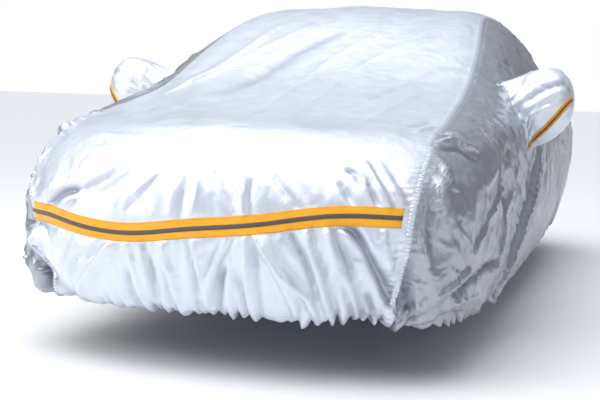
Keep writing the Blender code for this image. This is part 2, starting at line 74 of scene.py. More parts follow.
STATIONS = (
    Station("turn_in", (0.160, 0.262), (0.560, 0.275, 0.262), (0.580, 0.290, 0.262), (0.600, 0.315, 0.262)),
    Station("hem", (0.070, 0.236), (0.628, 0.185, 0.232), (0.700, 0.215, 0.232), (0.735, 0.262, 0.232)),
    Station("apron", (0.018, 0.350), (0.668, 0.150, 0.350), (0.785, 0.220, 0.335), (0.800, 0.350, 0.218)),
    Station("bumper", (0.000, 0.480), (0.695, 0.140, 0.480), (0.825, 0.255, 0.455), (0.828, 0.450, 0.212)),
    Station("band", (0.004, 0.610), (0.710, 0.158, 0.610), (0.852, 0.305, 0.575), (0.842, 0.570, 0.210)),
    Station("nose", (0.040, 0.745), (0.720, 0.230, 0.735), (0.868, 0.410, 0.690), (0.846, 0.700, 0.208)),
    Station("lip", (0.150, 0.860), (0.722, 0.385, 0.840), (0.878, 0.590, 0.785), (0.850, 0.860, 0.207)),
    Station("bonnet", (0.480, 0.932), (0.715, 0.640, 0.908), (0.882, 0.840, 0.855), (0.852, 1.060, 0.207)),
    Station("scuttle", (0.880, 0.992), (0.702, 0.980, 0.975), (0.884, 1.140, 0.910), (0.856, 1.290, 0.208)),
    Station("screen_foot", (1.270, 1.098), (0.692, 1.330, 1.075), (0.885, 1.430, 0.950),
            (0.858, 1.530, 0.210)),
    Station("screen", (1.660, 1.272), (0.664, 1.720, 1.238), (0.885, 1.760, 0.965), (0.860, 1.800, 0.212)),
    Station("header", (2.100, 1.436), (0.608, 2.170, 1.395), (0.883, 2.130, 0.970), (0.860, 2.120, 0.215)),
    Station("roof", (2.620, 1.486), (0.584, 2.640, 1.434), (0.880, 2.580, 0.975), (0.860, 2.560, 0.222)),
    Station("rear_header", (3.150, 1.440), (0.575, 3.120, 1.392), (0.878, 3.030, 0.975),
            (0.860, 2.980, 0.245)),
    Station("rear_window", (3.620, 1.275), (0.600, 3.550, 1.240), (0.874, 3.440, 0.975),
            (0.858, 3.390, 0.280)),
    Station("boot_front", (4.000, 1.120), (0.640, 3.910, 1.095), (0.868, 3.790, 0.955),
            (0.854, 3.720, 0.310)),
    Station("boot", (4.330, 1.050), (0.670, 4.210, 1.020), (0.860, 4.060, 0.905), (0.846, 3.980, 0.326)),
    Station("boot_lip", (4.580, 0.990), (0.680, 4.420, 0.955), (0.845, 4.260, 0.825), (0.832, 4.150, 0.328)),
    Station("tail", (4.690, 0.850), (0.690, 4.530, 0.830), (0.825, 4.400, 0.720), (0.812, 4.280, 0.322)),
    Station("rear_bumper", (4.720, 0.655), (0.690, 4.580, 0.645), (0.790, 4.480, 0.580),
            (0.785, 4.370, 0.312)),
    Station("rear_apron", (4.705, 0.460), (0.665, 4.560, 0.455), (0.745, 4.500, 0.435),
            (0.745, 4.430, 0.300)),
    Station("rear_hem", (4.645, 0.290), (0.625, 4.510, 0.288), (0.665, 4.490, 0.288), (0.695, 4.450, 0.292)),
    Station("rear_turn_in", (4.560, 0.315), (0.560, 4.425, 0.315), (0.580, 4.410, 0.315),
            (0.600, 4.390, 0.315)),
)
# How far the cloth of the front has sunk between the corners: across the form, and the depth.
SAGS = ((-1.60, 0.000), (-1.13, 0.066), (-0.92, 0.068), (-0.73, 0.087), (-0.36, 0.100),
        (-0.10, 0.073), (0.26, 0.040), (0.60, 0.000), (1.00, 0.002), (1.50, 0.000))


def unit(vectors: Array) -> Array:
    """Brings vectors to length 1."""
    return vectors / np.maximum(np.linalg.norm(vectors, axis=-1, keepdims=True), 1e-12)


def smooth(values: Array, low: float, high: float) -> Array:
    """Rises smoothly from 0 at low to 1 at high."""
    share = np.clip((values - low) / (high - low), 0, 1)
    return share * share * (3 - 2 * share)


def spline_at(knots: Array, values: Array, places: Array) -> Array:
    """Evaluates many natural cubic splines at once.

    Args:
        knots: knots of each spline, shape (n, k).
        values: values at the knots, shape (n, k, d).
        places: where each spline is evaluated, shape (n,).

    Returns:
        One row of d values for each spline.
    """
    steps = np.diff(knots, axis=1)
    count = knots.shape[1]
    system = np.zeros((len(knots), count, count))
    system[:, 0, 0] = system[:, -1, -1] = 1
    inner = np.arange(1, count - 1)
    system[:, inner, inner - 1] = steps[:, :-1]
    system[:, inner, inner] = 2 * (steps[:, :-1] + steps[:, 1:])
    system[:, inner, inner + 1] = steps[:, 1:]
    slopes = np.diff(values, axis=1) / steps[..., None]
    right = np.zeros_like(values)
    right[:, 1:-1] = 6 * np.diff(slopes, axis=1)
    bends = np.linalg.solve(system, right)
    i = np.clip((knots <= places[:, None]).sum(1) - 1, 0, count - 2)
    n = np.arange(len(knots))
    step = steps[n, i][:, None]
    before = (knots[n, i + 1] - places)[:, None] / step
    after = 1 - before
    line = before * values[n, i] + after * values[n, i + 1]
    bend = (before ** 3 - before) * bends[n, i] + (after ** 3 - after) * bends[n, i + 1]
    return line + bend * step ** 2 / 6


def one_spline(knots: Sequence[float], values: Array, places: Array) -> Array:
    """Evaluates one natural cubic spline at many places.

    Args:
        knots: the knots, in order.
        values: one row of values for each knot.
        places: any number of places.

    Returns:
        One row of values for each place.
    """
    count = len(places)
    wide_knots = np.broadcast_to(np.asarray(knots, float), (count, len(knots)))
    wide_values = np.broadcast_to(np.asarray(values, float), (count, *np.shape(values)))
    return spline_at(wide_knots, wide_values, np.asarray(places, float))


@dataclass
class Form:
    """The surface of the covered car: along from front hem to rear hem, across from -2 to 2."""

    belly: float = 0.044             # how far the sides stand out between shoulder and hem
    full_rib: float = 0.70           # rib length from which they have their full belly
    belly_shares: tuple[float, float] = (0.38, 0.75)
    mid_span: float = 0.60           # an extra point on the way from the centre line to the seam
    mid_drop: float = 0.30
    chord_power: float = 0.75
    spine: tuple[float, float] = (0.75, 3.95)
    sag_row: float = 0.485
    sag_reach: float = 0.28
    batch: int = 20000
    rows: Array = field(init=False)
    knots: Array = field(init=False)

    def __post_init__(self) -> None:
        """Lays the stations out along the centre line."""
        self.rows = np.array([(*s.top, *s.seam, *s.shoulder, *s.hem) for s in STATIONS])
        lengths = np.linalg.norm(np.diff(self.rows[:, :2], axis=0), axis=1)
        self.knots = np.concatenate([[0], np.cumsum(lengths)])

    @property
    def length(self) -> float:
        """Length along the centre line."""
        return float(self.knots[-1])

    def sunk(self, along: Array, across: Array) -> Array:
        """Where along the bare form the cloth of each place has sunk to."""
        knots, depths = zip(*SAGS)
        depth = one_spline(knots, np.array(depths)[:, None], across)[:, 0]
        depth = np.where(np.abs(across) < knots[-1] + 0.1, depth, 0)
        return np.maximum(along - depth * np.exp(-((along - self.sag_row) / self.sag_reach) ** 2), 0)

    def sections(self, along: Array) -> Array:
        """Points of many sections from right hem to left hem, shape (n, 13, 3)."""
        row = one_spline(self.knots, self.rows, along)
        top = np.concatenate([np.zeros((len(row), 1)), row[:, :2]], axis=1)
        seam, shoulder, hem = row[:, 2:5], row[:, 5:8], row[:, 8:11]
        mid = top + (seam - top) * (self.mid_span, self.mid_drop, self.mid_drop)
        rib = np.linalg.norm(shoulder - hem, axis=1, keepdims=True)
        belly = self.belly * np.minimum(1, rib / self.full_rib)
        half = [top, mid, seam, shoulder]
        for share in self.belly_shares:
            point = shoulder + (hem - shoulder) * share
            half.append(point + self.outward(point) * belly)
        half.append(hem)
        mirrored = [p * (-1, 1, 1) for p in half[:0:-1]]
        return np.stack(mirrored + half, axis=1)

    def outward(self, points: Array) -> Array:
        """Level directions from the car's middle line out to the points."""
        middle = points.copy()
        middle[:, 0] = 0
        middle[:, 1] = np.clip(points[:, 1], *self.spine)
        return unit(points - middle)

    def points(self, along: Array, across: Array) -> Array:
        """Points of the form, in the car's own place.

        Args:
            along: places along the form, any shape.
            across: places across it, the same shape.

        Returns:
            The points, with one more axis for x, y and z.
        """
        along, across = np.broadcast_arrays(np.asarray(along, float), np.asarray(across, float))
        flat_along, flat_across = along.ravel(), across.ravel()
        flat_along = self.sunk(flat_along, flat_across)
        made = [self.batch_points(flat_along[i:i + self.batch], flat_across[i:i + self.batch])
                for i in range(0, len(flat_along), self.batch)]
        return np.concatenate(made).reshape(*along.shape, 3)

    def batch_points(self, along: Array, across: Array) -> Array:
        """Points of one batch of places on the bare form."""
        sections = self.sections(along)
        chords = np.linalg.norm(np.diff(sections, axis=1), axis=2) ** self.chord_power
        knots = np.concatenate([np.zeros((len(along), 1)), np.cumsum(chords, axis=1)], axis=1)
        ticks = knots[:, [0, 4, 6, 8, 12]]
        low = np.clip(np.floor(across).astype(int) + 2, 0, 3)
        n = np.arange(len(along))
        share = across + 2 - low
        places = ticks[n, low] * (1 - share) + ticks[n, low + 1] * share
        return spline_at(knots, sections, places)


# ---------------------------------------------------------------------------- folds of the cloth
class Profile(Enum):
    """Shape of a fold across its line."""

    SOFT = "round"
    CREASE = "sharp at its line"
    LAP = "slow on one side, steep on the other"


class Fold(NamedTuple):
    """One fold: places that it runs through, its height (a trough below 0), half width and profile."""

    line: tuple[Place, ...]
    height: float
    width: float
    profile: Profile = Profile.SOFT
    ends: tuple[float, float] = (0.0, 0.0)   # how much of the height is left at its two ends


SOFT, CREASE, LAP = Profile.SOFT, Profile.CREASE, Profile.LAP
OUT = (0.7, 0.9)     # from the band's edge out over the hem

APRON_FOLDS = (
    Fold(((0.44, -1.26), (0.43, -1.05), (0.36, -0.92)), -0.026, 0.026, LAP, (0.8, 0.2)),
    Fold(((0.40, -1.20), (0.30, -0.97), (0.20, -0.83)), 0.020, 0.042, LAP, (0.6, 0.5)),
    Fold(((0.30, -1.28), (0.20, -1.05), (0.13, -0.88)), -0.022, 0.030, SOFT, (0.8, 0.8)),
    Fold(((0.41, -0.76), (0.27, -0.86)), -0.010, 0.011, LAP),
    Fold(((0.36, -0.66), (0.30, -0.78), (0.22, -0.80)), -0.009, 0.012, SOFT),
    Fold(((0.44, -0.50), (0.29, -0.66), (0.14, -0.82)), 0.020, 0.020, LAP, (0.6, 0.6)),
    Fold(((0.43, -0.56), (0.33, -0.66)), -0.010, 0.016, SOFT, (0.5, 0)),
    Fold(((0.36, -0.43), (0.22, -0.42), (0.10, -0.41)), -0.017, 0.012, LAP, (0, 1)),
    Fold(((0.44, -0.40), (0.30, -0.37), (0.10, -0.34)), 0.009, 0.014, SOFT, OUT),
    Fold(((0.45, -0.31), (0.29, -0.28), (0.10, -0.27)), -0.018, 0.013, LAP, OUT),
    Fold(((0.32, -0.215), (0.10, -0.18)), -0.013, 0.012, LAP, (0, 1)),
    Fold(((0.44, -0.20), (0.10, -0.13)), 0.008, 0.018, SOFT, OUT),
    Fold(((0.45, -0.075), (0.30, -0.05), (0.10, -0.04)), -0.017, 0.011, LAP, OUT),
    Fold(((0.45, -0.052), (0.30, -0.02), (0.14, 0.00)), 0.012, 0.010, CREASE, (0.7, 0)),
    Fold(((0.44, 0.09), (0.35, 0.04), (0.20, -0.03)), -0.012, 0.012, LAP, (0.5, 0)),
    Fold(((0.44, 0.15), (0.31, 0.08), (0.10, 0.02)), -0.014, 0.013, LAP, OUT),
    Fold(((0.34, 0.13), (0.25, 0.09), (0.10, 0.08)), -0.020, 0.012, SOFT, (0, 1)),
    Fold(((0.34, 0.15), (0.19, 0.20), (0.10, 0.21)), -0.018, 0.013, LAP, (0, 1)),
    Fold(((0.45, 0.212), (0.10, 0.235)), 0.013, 0.011, CREASE, OUT),
    Fold(((0.45, 0.232), (0.33, 0.26), (0.10, 0.30)), -0.015, 0.012, LAP, OUT),
    Fold(((0.45, 0.245), (0.33, 0.34), (0.25, 0.40), (0.10, 0.52)), 0.026, 0.017, LAP, (0.8, 0.7)),
    Fold(((0.33, 0.375), (0.25, 0.44), (0.19, 0.53), (0.11, 0.61)), 0.018, 0.014, LAP, (0, 0.8)),
    Fold(((0.45, 0.41), (0.35, 0.48), (0.26, 0.54), (0.10, 0.63)), -0.022, 0.013, LAP, OUT),
    Fold(((0.45, 0.49), (0.37, 0.52), (0.27, 0.57), (0.10, 0.68)), 0.013, 0.010, CREASE, OUT),
    Fold(((0.45, 0.515), (0.34, 0.56), (0.25, 0.62), (0.10, 0.71)), -0.017, 0.013, LAP, OUT),
    Fold(((0.45, 0.58), (0.38, 0.62), (0.29, 0.67), (0.20, 0.74)), 0.014, 0.014, CREASE, (0.7, 0)),
    Fold(((0.45, 0.61), (0.37, 0.67), (0.28, 0.74), (0.10, 0.86)), -0.021, 0.018, LAP, OUT),
    Fold(((0.27, 0.665), (0.17, 0.76), (0.10, 0.80)), -0.017, 0.012, SOFT, (0, 1)),
    Fold(((0.45, 0.65), (0.43, 0.71), (0.39, 0.77), (0.33, 0.83), (0.25, 0.91), (0.19, 0.98)),
         -0.042, 0.024, LAP, (0.5, 1)),
    Fold(((0.43, 0.76), (0.34, 0.87), (0.27, 0.95)), 0.024, 0.034, SOFT, (0.5, 0.4)),
    Fold(((0.44, 0.86), (0.35, 0.91), (0.27, 0.95)), 0.012, 0.009, CREASE, (0.6, 0.4)),
    Fold(((0.345, 0.72), (0.335, 0.80)), -0.006, 0.009, SOFT),
    Fold(((0.23, 0.82), (0.10, 0.94)), -0.018, 0.012, LAP, (0, 1)),
)
NOSE_FOLDS = (
    Fold(((0.605, -0.70), (0.59, -0.78), (0.57, -0.85), (0.53, -0.93)), -0.034, 0.018, LAP, (0.3, 0.8)),
    Fold(((0.585, -0.71), (0.52, -0.85)), 0.018, 0.020, SOFT, (0.3, 0.6)),
    Fold(((0.60, -0.88), (0.54, -1.02)), 0.012, 0.020, SOFT, (0, 0.6)),
    Fold(((0.69, -0.36), (0.64, -0.53), (0.575, -0.72)), -0.015, 0.034, SOFT, (0, 0.5)),
    Fold(((0.70, -0.05), (0.62, -0.04), (0.56, -0.05), (0.52, -0.06)), 0.013, 0.012, LAP, (0, 0.7)),
    Fold(((0.67, -0.09), (0.52, -0.11)), -0.007, 0.014, SOFT, (0, 0.6)),
    Fold(((0.68, 0.01), (0.62, 0.07), (0.53, 0.15)), -0.010, 0.015, LAP, (0, 0.5)),
    Fold(((0.72, 0.07), (0.52, 0.20)), 0.007, 0.008, CREASE, (0, 0.6)),
    Fold(((0.69, -0.19), (0.54, -0.39)), -0.007, 0.011, LAP),
    Fold(((0.65, -0.25), (0.54, -0.43)), -0.006, 0.010, SOFT),
    Fold(((0.69, 0.165), (0.52, 0.195)), 0.010, 0.009, CREASE, (0, 0.8)),
    Fold(((0.65, 0.20), (0.52, 0.215)), -0.011, 0.009, LAP, (0, 0.8)),
    Fold(((0.69, 0.25), (0.60, 0.35), (0.52, 0.43)), -0.011, 0.011, LAP, (0, 0.6)),
    Fold(((0.69, 0.34), (0.53, 0.50)), -0.008, 0.016, SOFT, (0, 0.4)),
    Fold(((0.615, 0.59), (0.52, 0.69)), -0.013, 0.010, LAP, (0, 0.6)),
    Fold(((0.65, 0.61), (0.635, 0.67), (0.58, 0.72)), -0.018, 0.010, LAP),
    Fold(((0.635, 0.715), (0.57, 0.77), (0.52, 0.82)), -0.022, 0.012, LAP, (0.2, 0.8)),
    Fold(((0.72, 0.65), (0.61, 0.77), (0.52, 0.865)), 0.020, 0.015, SOFT, (0, 0.7)),
    Fold(((0.69, 0.70), (0.59, 0.83), (0.52, 0.90)), -0.013, 0.011, LAP, (0, 0.6)),
    Fold(((0.73, 0.74), (0.59, 0.92), (0.51, 0.99)), -0.011, 0.015, SOFT, (0, 0.6)),
)
TOP_FOLDS = (
    Fold(((0.84, -0.01), (1.40, -0.03), (1.93, -0.02), (2.30, 0.13), (2.68, 0.32)), 0.008, 0.016, CREASE),
    Fold(((0.86, 0.18), (1.86, 0.19), (2.20, 0.34), (2.55, 0.54)), 0.007, 0.015, CREASE),
    Fold(((1.50, -0.90), (2.07, -0.65), (2.70, -0.50)), 0.011, 0.022, LAP),
    Fold(((1.66, -0.84), (2.09, -0.58), (2.68, -0.18)), 0.010, 0.020, LAP),
    Fold(((1.50, -0.46), (1.85, -0.36), (2.20, -0.25), (2.40, -0.10), (2.70, 0.04)), -0.014, 0.050, SOFT),
    Fold(((0.80, -0.74), (0.775, -0.28)), 0.009, 0.014, LAP),
    Fold(((0.74, -0.68), (0.73, -0.24)), 0.008, 0.012, LAP),
    Fold(((0.95, 0.55), (1.45, 0.62), (1.90, 0.80)), 0.006, 0.020, CREASE),
    Fold(((1.30, 0.40), (1.75, 0.52), (2.30, 0.86)), -0.006, 0.030, SOFT),
    Fold(((1.10, -0.50), (1.55, -0.62), (2.00, -0.90)), 0.006, 0.020, CREASE),
    Fold(((1.05, 0.80), (1.35, 0.93)), -0.008, 0.020, SOFT),
    Fold(((0.92, 0.86), (1.16, 0.97)), 0.009, 0.014, LAP),
    Fold(((2.90, -0.40), (3.70, 0.20)), 0.006, 0.020, CREASE),
    Fold(((3.10, 0.50), (3.90, 0.10)), 0.006, 0.022, CREASE),
    Fold(((3.60, -0.80), (4.40, -0.20), (5.00, 0.00)), 0.008, 0.022, LAP),
    Fold(((3.70, 0.85), (4.30, 0.30), (5.10, 0.22)), 0.008, 0.022, LAP),
    Fold(((4.40, -0.90), (5.20, -0.60)), -0.008, 0.030, SOFT),
    Fold(((4.50, 0.70), (5.25, 0.50)), -0.008, 0.030, SOFT),
    Fold(((5.30, -0.10), (5.80, -0.24), (6.13, -0.30)), -0.018, 0.020, LAP, (0, 1)),
    Fold(((5.36, 0.12), (5.80, 0.28), (6.13, 0.38)), 0.018, 0.020, LAP, (0, 1)),
    Fold(((5.40, 0.55), (5.80, 0.66), (6.13, 0.86)), -0.020, 0.022, LAP, (0, 1)),
    Fold(((5.40, -0.55), (5.80, -0.70), (6.13, -0.80)), 0.018, 0.022, LAP, (0, 1)),
    Fold(((5.55, 0.05), (5.85, 0.02), (6.13, 0.06)), -0.012, 0.014, LAP, (0, 1)),
)
SIDE_FOLDS = (
    Fold(((0.84, 1.01), (0.85, 1.07), (0.81, 1.15), (0.83, 1.27)), 0.020, 0.014, LAP),
    Fold(((0.77, 1.02), (0.79, 1.10), (0.76, 1.20), (0.77, 1.30)), -0.018, 0.016, SOFT),
    Fold(((0.95, 1.00), (0.91, 1.12)), 0.010, 0.012, LAP),
    Fold(((1.00, 1.02), (1.06, 1.14), (1.18, 1.22)), -0.009, 0.014, SOFT),
    Fold(((0.75, 1.05), (0.66, 1.10), (0.60, 1.15), (0.61, 1.22)), 0.014, 0.014, LAP),
    Fold(((0.66, 1.05), (0.56, 1.14), (0.42, 1.20)), 0.013, 0.030, SOFT),
    Fold(((0.52, 1.06), (0.40, 1.13), (0.28, 1.22)), -0.015, 0.018, LAP, (0.4, 0)),
    Fold(((0.42, 1.06), (0.30, 1.18), (0.18, 1.38)), 0.015, 0.024, LAP),
    Fold(((0.33, 1.05), (0.22, 1.10), (0.14, 1.30), (0.11, 1.48)), -0.026, 0.026, SOFT, (0.6, 0.6)),
    Fold(((2.90, 1.42), (2.60, 1.53), (2.12, 1.63), (1.60, 1.71), (1.36, 1.80), (1.16, 1.92), (1.00, 2.00)),
         0.040, 0.034, LAP, (0, 0.9)),
    Fold(((2.90, 1.55), (2.30, 1.74), (1.75, 1.87), (1.30, 2.00)), -0.030, 0.040, SOFT, (0, 0.8)),
    Fold(((1.30, 1.56), (1.06, 1.65), (0.86, 1.78), (0.78, 1.97)), -0.028, 0.026, LAP, (0, 0.9)),
    Fold(((1.62, 1.44), (1.20, 1.56), (0.95, 1.66), (0.66, 1.86), (0.60, 1.98)), 0.020, 0.022, CREASE,
         (0, 0.9)),
    Fold(((0.98, 1.38), (1.10, 1.50), (1.24, 1.60)), -0.024, 0.060, SOFT),
    Fold(((1.60, 1.36), (1.90, 1.46), (2.18, 1.56)), 0.014, 0.018, LAP),
    Fold(((1.30, 1.36), (1.00, 1.44), (0.62, 1.50), (0.42, 1.52)), 0.018, 0.016, LAP),
    Fold(((0.52, 1.57), (0.32, 1.49), (0.19, 1.36)), 0.018, 0.014, LAP),
    Fold(((0.60, 1.64), (0.40, 1.62), (0.24, 1.52)), -0.018, 0.015, LAP),
    Fold(((0.86, 1.74), (0.62, 1.69), (0.44, 1.64)), -0.022, 0.017, LAP),
    Fold(((0.62, 1.84), (0.40, 1.76), (0.22, 1.62)), 0.014, 0.016, CREASE),
    Fold(((0.44, 1.92), (0.30, 1.82), (0.16, 1.66)), -0.014, 0.018, LAP),
    Fold(((1.05, 1.28), (0.90, 1.34), (0.72, 1.36)), 0.010, 0.016, LAP),
    Fold(((1.40, 1.30), (1.20, 1.42), (1.05, 1.60)), -0.012, 0.016, LAP),
    Fold(((1.50, 1.42), (1.36, 1.58), (1.30, 1.74)), -0.016, 0.016, LAP),
    Fold(((1.70, 1.50), (1.62, 1.62), (1.60, 1.72)), 0.012, 0.013, CREASE),
    Fold(((2.00, 1.30), (2.30, 1.60), (2.50, 1.95)), -0.010, 0.030, SOFT),
    Fold(((2.46, 1.05), (2.20, 1.10), (1.97, 1.16)), 0.010, 0.012, LAP),
    Fold(((2.66, 1.08), (2.50, 1.13), (2.28, 1.20)), -0.012, 0.014, LAP),
    Fold(((2.80, 1.04), (2.92, 1.12), (3.00, 1.24)), -0.015, 0.014, LAP),
    Fold(((3.00, 1.03), (3.14, 1.12), (3.24, 1.22)), -0.015, 0.014, LAP),
    Fold(((3.16, 1.06), (3.55, 1.15), (3.95, 1.18)), 0.010, 0.015, LAP),
    Fold(((4.20, 1.42), (4.70, 1.60), (5.25, 1.90)), -0.020, 0.034, LAP),
    Fold(((4.60, 1.30), (5.20, 1.50), (5.70, 1.80)), 0.020, 0.030, LAP),
    Fold(((5.40, 1.05), (5.65, 1.30), (5.85, 1.60)), -0.018, 0.022, LAP),
    Fold(((3.70, 1.50), (4.10, 1.70), (4.30, 1.98)), 0.014, 0.026, LAP, (0, 0.9)),
)


def noise(points: Array, seed: int) -> Array:
    """Smooth noise between about -1 and 1 on a lattice of unit cells.

    Args:
        points: places, already divided by the size of a cell, shape (..., 3).
        seed: which noise.

    Returns:
        One value for each point.
    """
    cell = np.floor(points).astype(np.int64)
    share = points - cell
    ease = share ** 3 * (share * (share * 6 - 15) + 10)
    total = np.zeros(points.shape[:-1])
    for corner in range(8):
        step = np.array([corner & 1, corner >> 1 & 1, corner >> 2 & 1])
        key = (cell + step) @ np.array([73856093, 19349663, 83492791]) + seed * 668265263
        key = (key ^ (key >> 13)) * 1274126177 & 0xFFFFFFFF
        key = (key ^ (key >> 16)) * 2246822519 & 0xFFFFFFFF
        angles = np.stack([key & 1023, key >> 10 & 1023, key >> 20 & 1023], axis=-1) / 511.5 - 1
        pull = (angles * (share - step)).sum(-1)
        weight = np.prod(np.where(step, ease, 1 - ease), axis=-1)
        total += pull * weight
    return total * 1.5


def crumpled(points: Array, size: Array, seed: int) -> Array:
    """Ridges and flats of crumpled foil, between 0 on the flats and 1 on the ridges.

    Args:
        points: places in metres.
        size: cell sizes in metres along x, y and z.
        seed: which crumples.

    Returns:
        One value for each point.
    """
    warp = np.stack([noise(points / size * 0.7 + 5, seed + k) for k in range(3)], axis=-1)
    places = points / size + warp * 0.9
    first = 1 - np.abs(noise(places, seed + 7)) * 2.2
    second = 1 - np.abs(noise(places * 2.1 + 3, seed + 9)) * 2.2
    return np.clip(first, -0.4, 1) * 0.68 + np.clip(second, -0.4, 1) * 0.32


def fold_push(fold: Fold, mirrored: bool, form: Form, points: Array, normals: Array) -> tuple[Array, Array]:
    """How far one fold pushes the cloth out.

    Args:
        fold: the fold.
        mirrored: whether it lies on the other side of the car.
        form: the covered form.
        points: the cloth's points, shape (n, 3).
        normals: its normals.

    Returns:
        The numbers of the points that it reaches, and the push of each.
    """
    side = -1 if mirrored else 1
    places = np.array(fold.line) * (1, side)
    knots = np.arange(len(places))
    count = 6 * (len(places) - 1) + 1
    fine = one_spline(knots, places, np.linspace(0, len(places) - 1, count)) if len(places) > 2 else \
        places[0] + (places[1] - places[0]) * np.linspace(0, 1, 8)[:, None]
    line = form.points(fine[:, 0], fine[:, 1]) - REST
    reach = 3.2 * fold.width
    near = ((points > line.min(0) - reach) & (points < line.max(0) + reach)).all(1).nonzero()[0]
    if not len(near):
        return near, np.zeros(0)
    best = np.full(len(near), np.inf)
    place = np.zeros(len(near))
    sign = np.zeros(len(near))
    for k in range(len(line) - 1):
        span = line[k + 1] - line[k]
        offset = points[near] - line[k]
        share = np.clip(offset @ span / (span @ span), 0, 1)
        gap = offset - share[:, None] * span
        distance = np.linalg.norm(gap, axis=1)
        closer = distance < best
        best = np.where(closer, distance, best)
        place = np.where(closer, (k + share) / (len(line) - 1), place)
        turned = np.cross(normals[near], span)
        sign = np.where(closer, np.sign((turned * gap).sum(1)), sign)
    width = fold.width * (0.8 + 0.45 * place)
    if fold.profile is Profile.SOFT:
        shape = np.exp(-(best / width) ** 2)
    elif fold.profile is Profile.CREASE:
        shape = np.exp(-best / width)
    else:
        shape = np.where(sign * side > 0, np.exp(-(best / (1.5 * width)) ** 1.5),
                         np.exp(-(best / (0.55 * width)) ** 2))
    start, end = fold.ends
    ease = (start + (1 - start) * smooth(place, 0, 0.3)) * (end + (1 - end) * smooth(1 - place, 0, 0.35))
    return near, fold.height * ease * shape


# ---------------------------------------------------------------------------- the drawn cloth
BAND_ROWS = (0.450, 0.477, 0.493, 0.520)     # along the form: band edge, stripe edges, band edge


